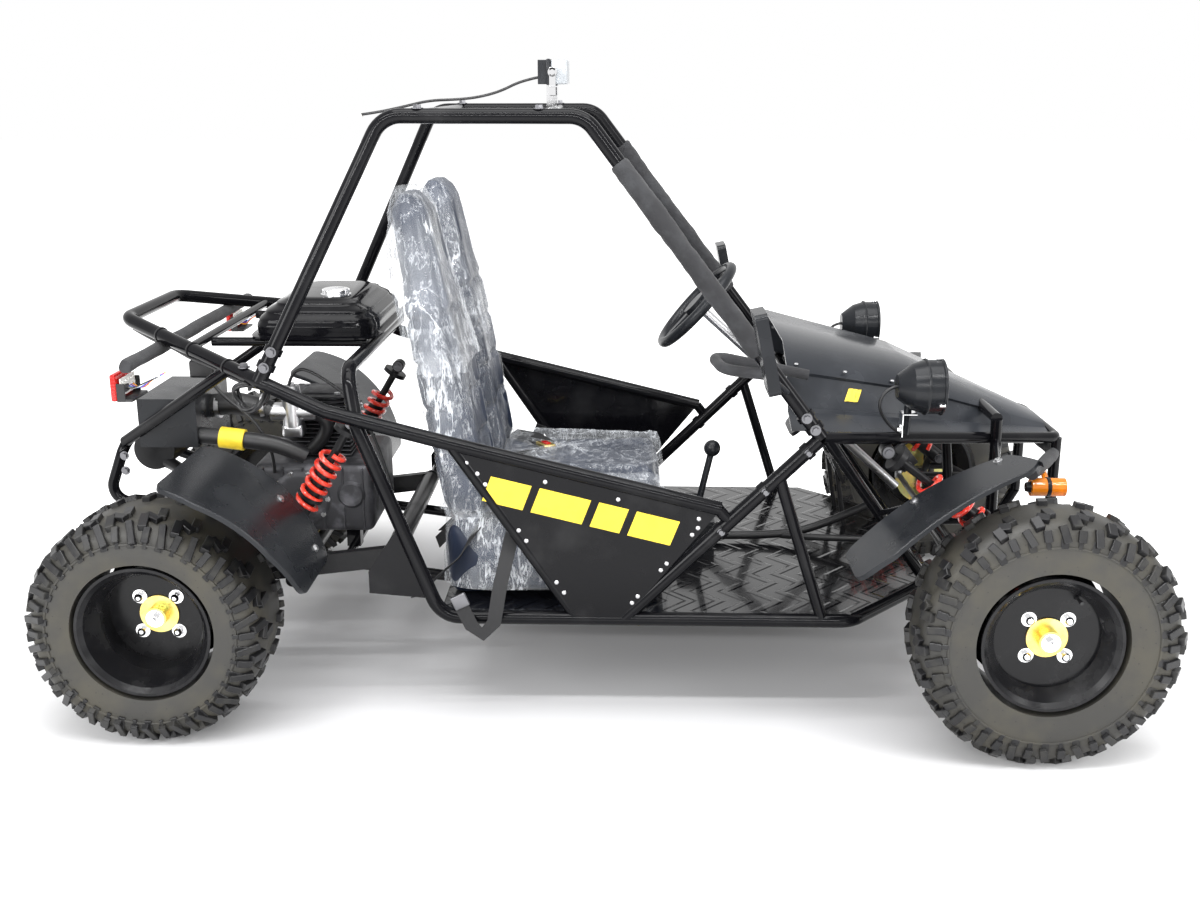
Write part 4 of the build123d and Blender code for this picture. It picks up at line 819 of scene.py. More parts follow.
def dressed(made, box, finish, channels):
    """Sewn channels pressed into a swelled pad, kept inside its solid's box, and its finish."""
    low, high = box
    for vert in made.data.vertices:
        for centre, direction, depth in channels:
            off = abs((vert.co - centre).dot(direction))
            if off < CHANNEL_HALF:
                vert.co -= vert.normal * depth * (1 - off / CHANNEL_HALF) ** 2
        vert.co = Vector(max(a, min(b, c)) for a, b, c in zip(low, high, vert.co))
    for face in made.data.polygons:
        face.use_smooth = True
    made.data.materials.clear()
    made.data.materials.append(FINISHES[finish])
    return made


def loose(shape, name):
    """The shape's mesh as an object, without a body yet."""
    mesh = bpy.data.meshes.new(name)
    bmesh.ops.recalc_face_normals(shape.mesh, faces=shape.mesh.faces)
    shape.mesh.to_mesh(mesh)
    shape.mesh.free()
    made = bpy.data.objects.new(name, mesh)
    bpy.context.scene.collection.objects.link(made)
    return made


def twin(made, name):
    """The same pad or film on the other side of the vehicle."""
    mesh = made.data.copy()
    mesh.transform(Matrix.Diagonal((1, -1, 1, 1)))
    mesh.flip_normals()
    other = bpy.data.objects.new(name, mesh)
    bpy.context.scene.collection.objects.link(other)
    return other


def seats():
    backs = loose(Shape().skin(back_surface, 48, 30, caps="low high"), "seat_back_right")
    low, high = Vector(CUSHION_LOW), Vector(CUSHION_HIGH)
    middle = (low + high) / 2
    block = Shape().block(high - low, spot(*middle), CUSHION_ROUND, 4)
    cushion = loose(block, "seat_cushion_right")
    lean = Vector((-SEAT_LEAN, 0, SEAT_TOP_Z - SEAT_FOOT_Z))
    foot = spot(SEAT_FOOT_X, -SEAT_Y, SEAT_FOOT_Z)
    seams = [(foot + lean * share, lean.normalized(), BACK_REACH) for share in CHANNEL_SHARES]
    rows = [(spot(x, 0, 0), Vector((1, 0, 0)), CUSHION_REACH) for x in CHANNEL_X]
    for made, node, channels in (
        (swelled(backs, BACK_REACH), "seat_backs", seams),
        (swelled(cushion, CUSHION_REACH), "seat_cushions", rows),
    ):
        dressed(made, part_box(node), "seat_vinyl", channels)
        other = twin(made, made.name.replace("right", "left"))
        for pad in (made, other):
            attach(pad, "frame")
            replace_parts(pad, node)


# Film: a loose bag over each back and cushion, with sharp folds
FILM_GAP = 0.007
FILM_FOLD = 0.015
FILM_COLUMNS = 180
HEM_WAVES = 13
BAG_FOLDS = ((7.0, 1.2, 0, 0.7), (11.0, 3.5, 1, 0.3))          # shares of the fold's height
CUSHION_FOLDS = ((7.0, 3.0, 0, 0.012), (13.0, 5.0, 0, 0.005))  # heights in metres
CUSHION_FILM_GAP = 0.009
CUSHION_EDGE = 0.55          # share of the film that lies on top, before it hangs down


def crease(place, seed):
    """Ridges from 0 to 1, sharp along their crests."""
    value = noise.noise(Vector(place) + Vector((seed, seed, 0)))
    return max(0.0, 1 - abs(value) * 2.6)


def folds(u, v, seed, rows):
    """Creases added up, from rows of (count around, count along, layer, height)."""
    return sum(
        height * crease((u * around, v * along, layer), seed + 3 * index)
        for index, (around, along, layer, height) in enumerate(rows)
    )


def bag_surface(seed, top, bottom, flare, bulge=0.0):
    def surface(u, v):
        share = bottom + (top - bottom) * v
        base = back_surface(u, share, FILM_GAP)
        axis = spot(SEAT_FOOT_X - SEAT_LEAN * share, -SEAT_Y, base.z)
        out = (base - axis).normalized() if (base - axis).length > 1e-6 else Vector((0, 0, 1))
        waves = math.sin(2 * math.pi * HEM_WAVES * u + 3 * math.sin(9 * u))
        hem = flare * (1 - v) ** 3 * (0.6 + 0.4 * waves)
        behind = max(0.0, -out.x) * bulge * math.sin(math.pi * (1 - v)) ** 2
        return base + out * (FILM_FOLD * folds(u, v, seed, BAG_FOLDS) + hem + behind)
    return surface


def cushion_film(u, v):
    low, high = Vector(CUSHION_LOW), Vector(CUSHION_HIGH)
    middle, half = (low + high) / 2, (high - low) / 2
    across = math.sin(math.pi / 2 * min(1.0, v / CUSHION_EDGE))
    drop = max(0.0, (v - CUSHION_EDGE) / (1 - CUSHION_EDGE))
    a, b = rounded(u, half.x * across + CUSHION_FILM_GAP, half.y * across + CUSHION_FILM_GAP, 0.42)
    fold = folds(u, v, 5, CUSHION_FOLDS)
    z = high.z + 0.008 - drop * (high.z - low.z - 0.01) + fold * (1 - drop)
    grow = 1 + 0.9 * fold * drop / half.x
    return spot(middle.x + a * grow, -SEAT_Y + b * grow, z)


def seat_film():
    for name, surface, rows, node, cap in (
        ("upper", bag_surface(1.7, 1.0, 0.46, 0.030, 0.030), 70, "seat_backs", "high"),
        ("lower", bag_surface(7.3, 0.60, 0.0, 0.012), 70, "seat_backs", ""),
        ("cushion", cushion_film, 60, "seat_cushions", "low"),
    ):
        shape = Shape().skin(surface, FILM_COLUMNS, rows, caps=cap)
        right = loose(shape, f"seat_film_{name}_right")
        right.data.materials.append(FINISHES["clear_film"])
        left = twin(right, f"seat_film_{name}_left")
        for film in (right, left):
            for face in film.data.polygons:
                face.use_smooth = True
            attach(film, "frame")


# Coil springs: the same perches as the solids', with round wire
SPRING_R = 0.030
SPRING_WIRE_R = 0.0055
SPRING_TURNS = 7
SPRING_STEPS = 22
PERCH_SHARES = (0.10, 0.72)               # of a spring's ends along its shock
FRONT_SHOCK_LOW = (0.356, 0.3593)         # y and z
FRONT_SHOCK_TOP_SHARE, FRONT_SHOCK_TOP_DROP = 0.26, 0.0278    # from the dash towards the nose
REAR_SHOCK_Y = 0.300


def spring_ends():
    """Both ends of the front and of the rear shock on the left, as the solids have them."""
    rail = at("dash") + (at("nose") - at("dash")) * FRONT_SHOCK_TOP_SHARE
    front = [Vector((FRONT_AXLE_X, *FRONT_SHOCK_LOW)), rail - Vector((0, 0, FRONT_SHOCK_TOP_DROP))]
    rear = [at("rear_shock_low"), at("rear_shock_top")]
    for end in rear:
        end.y = REAR_SHOCK_Y
    return front, rear


def springs():
    def one_side():
        shape = Shape()
        for low, top in spring_ends():
            start, end = [low.lerp(top, share) for share in PERCH_SHARES]
            run, reach = end - start, SPRING_R - SPRING_WIRE_R
            height = run.length - 2 * SPRING_WIRE_R
            turn = toward(run)
            turn.translation = start
            count = SPRING_TURNS * SPRING_STEPS
            coil = []
            for index in range(count + 1):
                angle = 2 * math.pi * index / SPRING_STEPS
                rise = SPRING_WIRE_R + height * index / count
                coil.append(turn @ Vector((reach * math.cos(angle), reach * math.sin(angle), rise)))
            shape.wire(coil, SPRING_WIRE_R, steps=2)
        return shape
    made = both_sides(one_side).piece("spring_coils", ("spring_red",))
    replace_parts(made, "springs")


# Wheel fasteners: dome nuts, castle nuts, valve stems
STUD_CIRCLE_R = 0.054
STUD_COUNT = 4
NUT_R, NUT_H = 0.0105, 0.011
FRONT_FACE_OUT = 0.025       # of the disc's face beyond the middle of the tread
REAR_FACE_OUT = -0.008
NOSE_OUT = 0.028             # of the hub's nose beyond the disc's face
AXLE_NUT = (                 # along the axle from the nose: start, end, both radii, sides
    (0.0, 0.003, 0.019, 0.019, 32),
    (0.003, 0.014, 0.0125, 0.0118, 6),
    (0.014, 0.019, 0.0075, 0.0065, 20),
)
PIN_OUT, PIN_HALF, PIN_R = 0.0115, 0.010, 0.0012
VALVE_R = 0.098              # of the valve's place, from the axle
VALVE_SIDE = Vector((0.5, 0, 0.82)).normalized()
VALVE_SUNK = 0.001
VALVE_STEM = (
    (0.0, 0.010, 0.0060, 0.0042, 16),
    (0.010, 0.026, 0.0032, 0.0032, 12),
    (0.026, 0.034, 0.0042, 0.0036, 12),
)


def wheel_fasteners():
    for name, side in SIDES:
        out = Vector((0, side, 0))
        for end, centre, face_out, body in (
            ("front", (FRONT_AXLE_X, FRONT_TRACK_HALF, FRONT_TYRE_R), FRONT_FACE_OUT, f"wheel_{name}"),
            ("rear", (REAR_AXLE_X, REAR_TRACK_HALF, REAR_TYRE_R), REAR_FACE_OUT, "rear_axle_set"),
        ):
            x, y, z = centre
            face = Vector((x, side * (y + face_out), z))
            shape = Shape()
            for index in range(STUD_COUNT):
                angle = math.radians(45 + 360 * index / STUD_COUNT)
                seat = face + Vector((math.cos(angle), 0, math.sin(angle))) * STUD_CIRCLE_R
                shape.hexagon(seat, out, NUT_R, NUT_H)
                shape.ball(seat + out * NUT_H, NUT_R * 0.86)
            tip = face + out * NOSE_OUT
            shape.stack(tip, out, AXLE_NUT)
            middle, pin = tip + out * PIN_OUT, Vector((PIN_HALF, 0, PIN_HALF))
            shape.rod(middle - pin, middle + pin, PIN_R, steps=8)
            shape.stack(face + VALVE_SIDE * VALVE_R - out * VALVE_SUNK, out, VALVE_STEM, 1)
            shape.piece(f"fasteners_{end}_{name}", ("chrome_trim", "cable_black"), body)


# Front brakes: calipers
DISC_IN = 0.102              # of the brake disc, inward from the middle of the tread
CALIPER_PLACE = (-0.062, 0.052)           # from the axle: ahead and up
CALIPER_TURN = math.radians(-40)
CALIPER_BLOCKS = (           # size, place in the caliper, bevel: both halves, then the bridge
    ((0.050, 0.016, 0.064), (0, 0.016, 0), 0.004),
    ((0.050, 0.016, 0.064), (0, -0.016, 0), 0.004),
    ((0.012, 0.040, 0.060), (-0.027, 0, 0), 0.003),
)
CALIPER_BOLT_IN, CALIPER_BOLT_UP = 0.024, 0.020


def brakes():
    ahead, up = CALIPER_PLACE
    for name, side in SIDES:
        disc_y = side * (FRONT_TRACK_HALF - DISC_IN)
        caliper = Matrix.Translation((FRONT_AXLE_X + ahead, disc_y, FRONT_TYRE_R + up))
        caliper @= Matrix.Rotation(CALIPER_TURN, 4, "Y")
        shape = Shape()
        for size, place, bevel in CALIPER_BLOCKS:
            shape.block(size, caliper @ Matrix.Translation(place), bevel)
        for sign in (-1, 1):
            bolt = caliper @ Vector((0, -side * CALIPER_BOLT_IN, sign * CALIPER_BOLT_UP))
            shape.hexagon(bolt, (0, -side, 0), 0.006, 0.005, 1)
        shape.piece(f"brake_caliper_{name}", ("engine_alloy", "bare_steel"), f"steer_{name}")


# Side panels: generic slanted bars in place of lettering, and screws along the edges
PANEL_OUT_Y = 0.4684
BAR_SLANT = 0.020
BAR_TOP, BAR_FOOT = 0.046, 0.098          # below the panel's upper edge
BAR_SHARES = ((0.15, 0.30), (0.33, 0.52), (0.55, 0.66), (0.69, 0.85))
SCREW_R = 0.0050
EDGE_SCREW_SHARES = (0.16, 0.22, 0.48, 0.54, 0.78, 0.84)
EDGE_SCREW_IN = 0.014
TOP_SCREW_SHARES = (0.06, 0.35, 0.62, 0.92)
TOP_SCREW_DROP = 0.030


def panel_point(share, depth):
    """A place on the panel: along its upper edge, then down from the edge in metres."""
    point = at("panel_rear").lerp(at("panel_front"), share)
    return Vector((point.x, PANEL_OUT_Y, point.z - depth))


def slanted_bars():
    shape = Shape()
    for start, end in BAR_SHARES:
        corners = [panel_point(share, BAR_TOP) for share in (start, end)]
        corners += [panel_point(share, BAR_FOOT) - Vector((BAR_SLANT, 0, 0)) for share in (end, start)]
        shape.mesh.faces.new([shape.mesh.verts.new(corner) for corner in corners])
    return shape


def panel_screws():
    shape = Shape()
    seats_at = []
    for top, foot in ((at("panel_rear"), at("panel_low")), (at("panel_front"), at("brace_low"))):
        inward = EDGE_SCREW_IN if top.x < foot.x else -EDGE_SCREW_IN
        for share in EDGE_SCREW_SHARES:
            seat = top.lerp(foot, share)
            seats_at.append((seat.x + inward, PANEL_OUT_Y - 0.0005, seat.z))
    seats_at += [panel_point(share, TOP_SCREW_DROP) for share in TOP_SCREW_SHARES]
    for seat in seats_at:
        shape.ball(seat, SCREW_R, 12, stretch=(1, 0.5, 1))
    return shape


def panel_marks():
    both_sides(slanted_bars).piece("panel_bars", ("yellow_mark",), slot="tank_paint")
    both_sides(panel_screws).piece("panel_screws", ("bare_steel",), slot="tank_paint")


# Clamp bolts and joints on the frame's tubes
BOLT_R, BOLT_H = 0.0085, 0.008
COLLAR_WALL = 0.004
ROOF_BOLT_SHARES = (0.18, 0.78)
HOOP_COLLARS, HOOP_COLLAR_HALF = (0.035, 0.070), 0.007      # metres up from the hoop's foot
SCREEN_COLLARS, SCREEN_COLLAR_HALF = (0.0, 0.030), 0.006    # metres on from the next share
SCREEN_COLLAR_SHARE = 0.93
PIVOT_SHARES = (0.252, 0.316, 0.243)      # of the rear arm: x share, y in metres, z share
EYE_OUT = 0.0155             # of the bolt heads on a shock's eye
TAIL_BOLTS = ((0, 0.012, -0.030), (0, 0.012, -0.065))


def collars(shape, start, run, reaches, half):
    """Clamp collars round a tube, each with its bolt on the outside."""
    out = Vector((0, 1, 0))
    for reach in reaches:
        collar = start + run * reach
        shape.rod(collar - run * half, collar + run * half, TUBE_R + COLLAR_WALL, steps=28, material=1)
        shape.hexagon(collar + out * (TUBE_R + COLLAR_WALL - 0.001), out, 0.0075, BOLT_H)


def frame_bolts():
    def one_side():
        shape = Shape()
        up, out = Vector((0, 0, 1)), Vector((0, 1, 0))
        for share in ROOF_BOLT_SHARES:
            seat = at("roof_rear").lerp(at("roof_front"), share) + up * (TUBE_R - 0.001)
            shape.hexagon(seat, up, BOLT_R, BOLT_H)
        foot, top, dash = at("hoop_foot"), at("roof_front"), at("dash")
        collars(shape, foot, (at("roof_rear") - foot).normalized(), HOOP_COLLARS, HOOP_COLLAR_HALF)
        base, slope = top.lerp(dash, SCREEN_COLLAR_SHARE), (dash - top).normalized()
        collars(shape, base, slope, SCREEN_COLLARS, SCREEN_COLLAR_HALF)
        corner = at("rack_corner").lerp(foot, 0.90)
        shape.hexagon(corner + up * TUBE_R, up, BOLT_R, 0.009)
        x, y, z = PIVOT_SHARES
        shape.hexagon(spot(x * WHEELBASE, y, z * CAGE_H), out, 0.014, 0.012)
        for end in spring_ends():
            for eye in end:
                for sign in (-1, 1):
                    shape.hexagon(eye + out * sign * EYE_OUT, out * sign, BOLT_R, BOLT_H)
        for place in TAIL_BOLTS:
            shape.hexagon(at("tail_top") + Vector(place), out, 0.007, 0.007)
        return shape
    both_sides(one_side).piece("frame_bolts", ("dark_steel", "frame_paint"), slot="frame_paint")


# Headlamps: ring, groove, screws, bracket and cable
HEADLAMP_SHARES = (0.875, 0.820, 0.569)
HEADLAMP_R = 0.056
HEADLAMP_HALF = 0.046
RING_R = 0.0035
GROOVE = ((0.0015, 0.014), (0.0030, 0.011), (0.0015, 0.008))    # beyond the radius, and ahead
SCREW_CIRCLE_R = 0.0585
SCREW_LENGTH = 0.012
BRACKET_W, BRACKET_T = 0.036, 0.003


def headlamp():
    x, y, z = HEADLAMP_SHARES
    centre = spot(x * WHEELBASE, y * BODY_HALF_W, z * CAGE_H)
    ahead = Matrix.Translation(centre) @ Matrix.Rotation(math.pi / 2, 4, "Y")
    shape = Shape()
    ring = []
    for index in range(13):
        angle = 2 * math.pi * index / 12
        rise = HEADLAMP_HALF - 0.002 + RING_R * math.sin(angle)
        ring.append((HEADLAMP_R + RING_R * math.cos(angle), rise))
    shape.turned(ring, ahead, 64)
    shape.turned([(HEADLAMP_R + wide, rise) for wide, rise in GROOVE], ahead, 64)
    for index in range(3):
        angle = math.radians(90 + 120 * index)
        across, up = math.cos(angle) * SCREW_CIRCLE_R, math.sin(angle) * SCREW_CIRCLE_R
        head = centre + Vector((HEADLAMP_HALF - 0.014, across, up))
        shape.rod(head, head + Vector((SCREW_LENGTH, 0, 0)), RING_R, steps=12, material=1)
    foot = centre - Vector((HEADLAMP_HALF * 0.4, 0, HEADLAMP_R))
    shape.block((0.030, BRACKET_W, BRACKET_T), foot, 0.001, 1, 1)
    shape.block((BRACKET_T, BRACKET_W, 0.050), foot - Vector((0.015, 0, 0.024)), 0.001, 1, 1)
    shape.hexagon(foot - Vector((0.0165, 0, 0.034)), (-1, 0, 0), 0.007, 0.006, 1)
    back = centre - Vector((HEADLAMP_HALF, 0, 0))
    rail = at("dash").lerp(at("nose"), 0.30) + Vector((0, 0, 0.013))
    hang = [back, back + Vector((-0.022, 0.004, -0.004)), back + Vector((-0.040, 0.006, -0.040))]
    hang += [rail + Vector((-0.02, 0, 0.012)), rail]
    return shape.wire(hang, 0.0034, material=2)


def lamps():
    both_sides(headlamp).piece("headlamp_rings", ("black_plastic", "chrome_trim", "cable_black"))


# Roof lamp: finned black back, clear lens box in front of it and a bright bracket round both
LAMP_SPLIT = 0.36            # share of the depth where the back ends
LAMP_FINS, LAMP_FIN_T = 7, 0.005
LAMP_PLATE_T = 0.010
LENS_IN = 0.006              # of the lens behind the plate's middle and the box's front
BEZEL = 0.004
MIRROR_IN = 0.012
BRACKET = (0.014, 0.003, 0.060)


def roof_lamp():
    low, high = node_box("roof_lamp")
    middle, size = (low + high) / 2, high - low
    split = low.x + LAMP_SPLIT * size.x
    shape = Shape()
    for index in range(LAMP_FINS):
        y = low.y + size.y * (index + 0.5) / LAMP_FINS
        fin = (split - low.x, LAMP_FIN_T, size.z * 0.92)
        shape.block(fin, ((low.x + split) / 2, y, middle.z), 0.001, 1)
    shape.block((LAMP_PLATE_T, size.y, size.z), (split, middle.y, middle.z), 0.003, 2)
    front = Vector(((split + high.x + LENS_IN) / 2, middle.y, middle.z))
    shape.block((high.x - split - LENS_IN, size.y - BEZEL, size.z - BEZEL), front, 0.004, 3, 1)
    mirror = (0.0015, size.y - MIRROR_IN, size.z - MIRROR_IN)
    shape.block(mirror, (high.x - 0.001, 0, middle.z), 0, 1, 2)
    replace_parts(shape.piece("roof_lamp_body", ("black_plastic", "reflector", "clear_lens")), "roof_lamp")
    wide, thick, tall = BRACKET
    shape = Shape()
    for sign in (-1, 1):
        side = Vector((middle.x, sign * (high.y + 0.002), middle.z))
        shape.block(BRACKET, side - Vector((0, 0, tall / 3)), 0.001, 1)
        shape.hexagon(side, (0, sign, 0), 0.007, 0.006)
    shape.block((wide, size.y + 0.008, thick), (middle.x, 0, low.z - 0.0025), 0.001, 1)
    shape.piece("roof_lamp_frame", ("chrome_trim",))


# Engine: finned cylinder on a case with round covers
CASE_TOP = 0.375 * CAGE_H
CASE_W, CASE_RIB_W = 0.284, 0.290
CASE_RIBS = 6
COVER_Y = 0.141
COVER_AHEAD = -0.030         # of the large cover's middle, ahead of the case's
COVERS = (                   # ahead and above the case's middle, profile, steps
    (COVER_AHEAD, 0.0, ((0, 0.009), (0.052, 0.009), (0.064, 0.006), (0.070, 0.0), (0.070, -0.004)), 64),
    (0.088, 0.010, ((0, 0.008), (0.026, 0.008), (0.034, 0.0), (0.034, -0.004)), 48),
)
COVER_SCREWS, COVER_SCREW_R = 10, 0.062
BARREL_W = 0.104
FIN_COUNT, FIN_PITCH, FIN_T = 14, 0.0105, 0.0030
WIDE_FINS, WIDE_FIN, NARROW_FIN = 10, 0.158, 0.146
HEAD_NUT = 0.046
PLUG_PLACE = (0.020, -0.060, -0.045)      # from the case's middle, and from the engine's top
PLUG_RUN = (0, -0.035, 0.022)


def engine():
    low, high = node_box("engine")
    size = Vector((high.x - low.x, CASE_W, CASE_TOP - low.z))
    middle = Vector(((low.x + high.x) / 2, 0, (low.z + CASE_TOP) / 2))
    shape = Shape().block(size, middle, 0.018, 4)
    for index in range(CASE_RIBS):
        x = low.x + size.x * (index + 0.5) / CASE_RIBS
        shape.block((0.005, CASE_RIB_W, size.z * 0.9), (x, 0, middle.z), 0.001, 1)
    for sign in (-1, 1):
        for ahead, up, profile, steps in COVERS:
            face = Matrix.Translation(middle + Vector((ahead, sign * COVER_Y, up)))
            shape.turned(profile, face @ toward(Vector((0, sign, 0))), steps)
    barrel_h = FIN_PITCH * FIN_COUNT
    shape.block((BARREL_W, BARREL_W, barrel_h), (middle.x, 0, CASE_TOP + barrel_h / 2), 0.012, 3)
    for index in range(FIN_COUNT):
        reach = WIDE_FIN if index < WIDE_FINS else NARROW_FIN
        place = (middle.x, 0, CASE_TOP + (index + 0.6) * FIN_PITCH)
        shape.block((reach, reach, FIN_T), place, 0.0012, 1)
    for x, y in ((-1, -1), (-1, 1), (1, -1), (1, 1)):
        nut = Vector((middle.x + HEAD_NUT * x, HEAD_NUT * y, high.z - 0.010))
        shape.hexagon(nut, (0, 0, 1), 0.008, 0.009, 1)
    plug = Vector((middle.x, 0, high.z)) + Vector(PLUG_PLACE)
    shape.rod(plug, plug + Vector(PLUG_RUN), 0.009, 0.007, 16, 2)
    for index in range(COVER_SCREWS):
        angle = 2 * math.pi * index / COVER_SCREWS
        rim = Vector((math.cos(angle), 0, math.sin(angle))) * COVER_SCREW_R
        rim += Vector((middle.x + COVER_AHEAD, 0, middle.z))
        for sign in (-1, 1):
            shape.hexagon(rim + Vector((0, sign * (COVER_Y + 0.0045), 0)), (0, sign, 0), 0.0050, 0.0045, 1)
    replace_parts(shape.piece("engine_body", ("engine_alloy", "bare_steel", "cable_black")), "engine")


# Engine bay: carburettor, hoses, coil, exhaust pipe and wrapped hose
CARB = spot(0.205, -0.105, 0.600)
CARB_BODY = (                # up from the carburettor's middle: start, end, both radii, sides
    (-0.045, 0.025, 0.024, 0.024, 28),
    (0.025, 0.050, 0.021, 0.017, 28),
    (0.046, 0.056, 0.007, 0.007, 6),
)
CARB_THROAT = ((-0.050, 0, -0.012), (0.055, 0, -0.012))
CARB_BOWL = (0.050, 0.040, 0.030)
CLIP_X, CLIP_W = (0.030, 0.135), 0.010    # hose clips
WRAP = ((0.064, -0.205, 0.553), (0.118, -0.205, 0.546))       # yellow wrap, inside the breather
COIL_BLOCK = (0.055, 0.034, 0.040)
BAY_HOSES = {                # radius, steps, material, route from the rear axle and the ground
    "intake": (0.026, 8, 1, (
        (0.010, -0.110, 0.600), (0.060, -0.110, 0.612), (0.110, -0.106, 0.600), (0.155, -0.105, 0.588))),
    "port": (0.016, 6, 1, (
        (0.255, -0.105, 0.588), (0.285, -0.100, 0.570), (0.270, -0.085, 0.520), (0.235, -0.075, 0.490))),
    "throttle_cable": (0.0035, 4, 1, (
        (0.205, -0.130, 0.655), (0.215, -0.135, 0.690), (0.260, -0.150, 0.700), (0.400, -0.170, 0.600),
        (0.440, -0.175, 0.420))),
    "breather": (0.019, 6, 1, (
        (-0.020, -0.205, 0.560), *WRAP, (0.200, -0.200, 0.535), (0.250, -0.190, 0.505))),
    "exhaust": (0.0145, 6, 3, (
        (0.130, -0.140, 0.420), (0.110, -0.215, 0.400), (0.040, -0.218, 0.385), (-0.030, -0.150, 0.420),
        (-0.080, -0.075, 0.445), (-0.120, -0.055, 0.452))),
    "plug_lead": (0.004, 4, 1, (
        (0.165, -0.150, 0.455), (0.175, -0.185, 0.520), (0.130, -0.190, 0.600), (0.060, -0.170, 0.640),
        (0.020, -0.150, 0.690))),
}


def engine_parts():
    shape = Shape().stack(CARB, Vector((0, 0, 1)), CARB_BODY)
    shape.rod(*[CARB + Vector(end) for end in CARB_THROAT], 0.021, steps=28)
    shape.block(CARB_BOWL, CARB - Vector((0, 0, 0.055)), 0.008, 3)
    for x in CLIP_X:
        shape.rod(spot(x, -0.109, 0.602), spot(x + CLIP_W, -0.109, 0.602), 0.0285, steps=32)
    shape.rod(*[spot(*end) for end in WRAP], 0.024, steps=28, material=2)
    for radius, steps, material, route in BAY_HOSES.values():
        shape.wire([spot(*point) for point in route], radius, steps=steps, material=material)
    shape.block(COIL_BLOCK, spot(0.02, -0.155, 0.700), 0.006, 3, 1)
    finishes = ("bare_steel", "cable_black", "yellow_mark", "chassis_black")
    shape.piece("engine_parts", finishes, slot="engine_alloy")


# Drive chain: links spaced evenly on the line round both sprockets, ahead of the rear axle
CHAIN_COUNT = 74
SPROCKET_Y = 0.100
FRONT_SPROCKET = (0.150, 0.335, 0.032)    # x and z from the rear axle and the ground, radius
REAR_SPROCKET_R = 0.087
ARC_STEPS = 24
LINK_W, LINK_T, LINK_SHARE = 0.0080, 0.0012, 1.12
INNER_Y, OUTER_Y = 0.0050, 0.0065
ROLLER_R, ROLLER_HALF = 0.0032, 0.006


def chain_line(near, far, small):
    """Points of the closed line round both sprockets."""
    run = far - near
    angle = math.atan2(run.z, run.x)
    lean = math.asin((REAR_SPROCKET_R - small) / run.length)
    path = []
    for centre, radius, start, end in (
        (near, REAR_SPROCKET_R, angle + math.pi / 2 - lean, angle + 3 * math.pi / 2 + lean),
        (far, small, angle - math.pi / 2 + lean, angle + math.pi / 2 - lean),
    ):
        for index in range(ARC_STEPS + 1):
            turn = start + (end - start) * index / ARC_STEPS
            path.append(centre + Vector((math.cos(turn), 0, math.sin(turn))) * radius)
    return path + path[:1]


def chain():
    x, z, small = FRONT_SPROCKET
    far = spot(x, SPROCKET_Y, z)
    path = chain_line(Vector((REAR_AXLE_X, SPROCKET_Y, REAR_TYRE_R)), far, small)
    lengths = [(b - a).length for a, b in zip(path, path[1:])]
    pitch = sum(lengths) / CHAIN_COUNT
    roller = Vector((0, ROLLER_HALF, 0))
    quarter = Matrix.Rotation(math.pi / 2, 4, "Z")
    shape = Shape()
    for index in range(CHAIN_COUNT):
        left, step = pitch * index, 0
        while left > lengths[step]:
            left -= lengths[step]
            step += 1
        here = path[step].lerp(path[step + 1], left / lengths[step])
        along = (path[step + 1] - path[step]).normalized()
        link = Matrix.Translation(here) @ toward(along, "X") @ quarter
        reach = OUTER_Y if index % 2 else INNER_Y
        for y in (-reach, reach):
            shape.block((LINK_W, LINK_T, pitch * LINK_SHARE), link @ Matrix.Translation((0, y, 0)))
        shape.rod(here - roller, here + roller, ROLLER_R, steps=8)
    hub = Vector((0, 0.004, 0))
    shape.rod(far - hub, far + hub, small * 0.92, steps=24)
    shape.piece("drive_chain", ("bare_steel",), slot="engine_alloy")


# Wiring: harness along the rack's leg with ties, and a hanging coil
ROUTE_SHARES = (0.05, 0.2, 0.35, 0.5, 0.65, 0.8, 0.95)
ROUTE_WOBBLE = 0.002
TIE_SHARES = (0.28, 0.52, 0.78)
TIE_HALF, TIE_WALL = 0.002, 0.0022
HANG_SHARE = 0.93
HANG_LOOPS = ((0.0, 0.030), (0.5, 0.034), (1.1, 0.028), (1.7, 0.032))    # turn, radius
HANG_DROP = 0.040


def hanging_loop(hang, turn, radius):
    """One slack turn of cable, with a wobble of its own."""
    loop = []
    for index in range(14):
        angle = 2 * math.pi * index / 14
        reach = radius + 0.004 * math.sin(3 * angle + turn)
        y = 0.010 * math.sin(2 * angle + turn) + 0.004 * turn - 0.005
        loop.append(hang + Vector((reach * math.cos(angle), y, reach * math.sin(angle) * 0.9 - HANG_DROP)))
    return loop


def harness():
    shape = Shape()
    corner, foot = at("rack_corner", -1), at("hoop_foot", -1)
    route = []
    for index, share in enumerate(ROUTE_SHARES):
        wobble = ROUTE_WOBBLE * (-1) ** index
        route.append(corner.lerp(foot, share) + Vector((0, 0.006 + wobble, wobble - TUBE_R - 0.004)))
    shape.wire(route, 0.0055)
    shape.wire([point + Vector((0, 0.012, 0.003)) for point in route], 0.004)
    half = (foot - corner).normalized() * TIE_HALF
    for share in TIE_SHARES:
        tie = corner.lerp(foot, share)
        shape.rod(tie - half, tie + half, TUBE_R + TIE_WALL, steps=24)
        shape.block((0.006, 0.006, 0.008), tie + Vector((0, 0.012, -0.018)), 0.001, 1)
    hang = corner.lerp(foot, HANG_SHARE)
    for turn, radius in HANG_LOOPS:
        shape.wire(hanging_loop(hang, turn, radius), 0.0038, closed=True)
    shape.block((0.006, 0.012, 0.030), hang - Vector((0, 0, 0.014)), 0.002)
    shape.piece("rack_wiring", ("cable_black",))


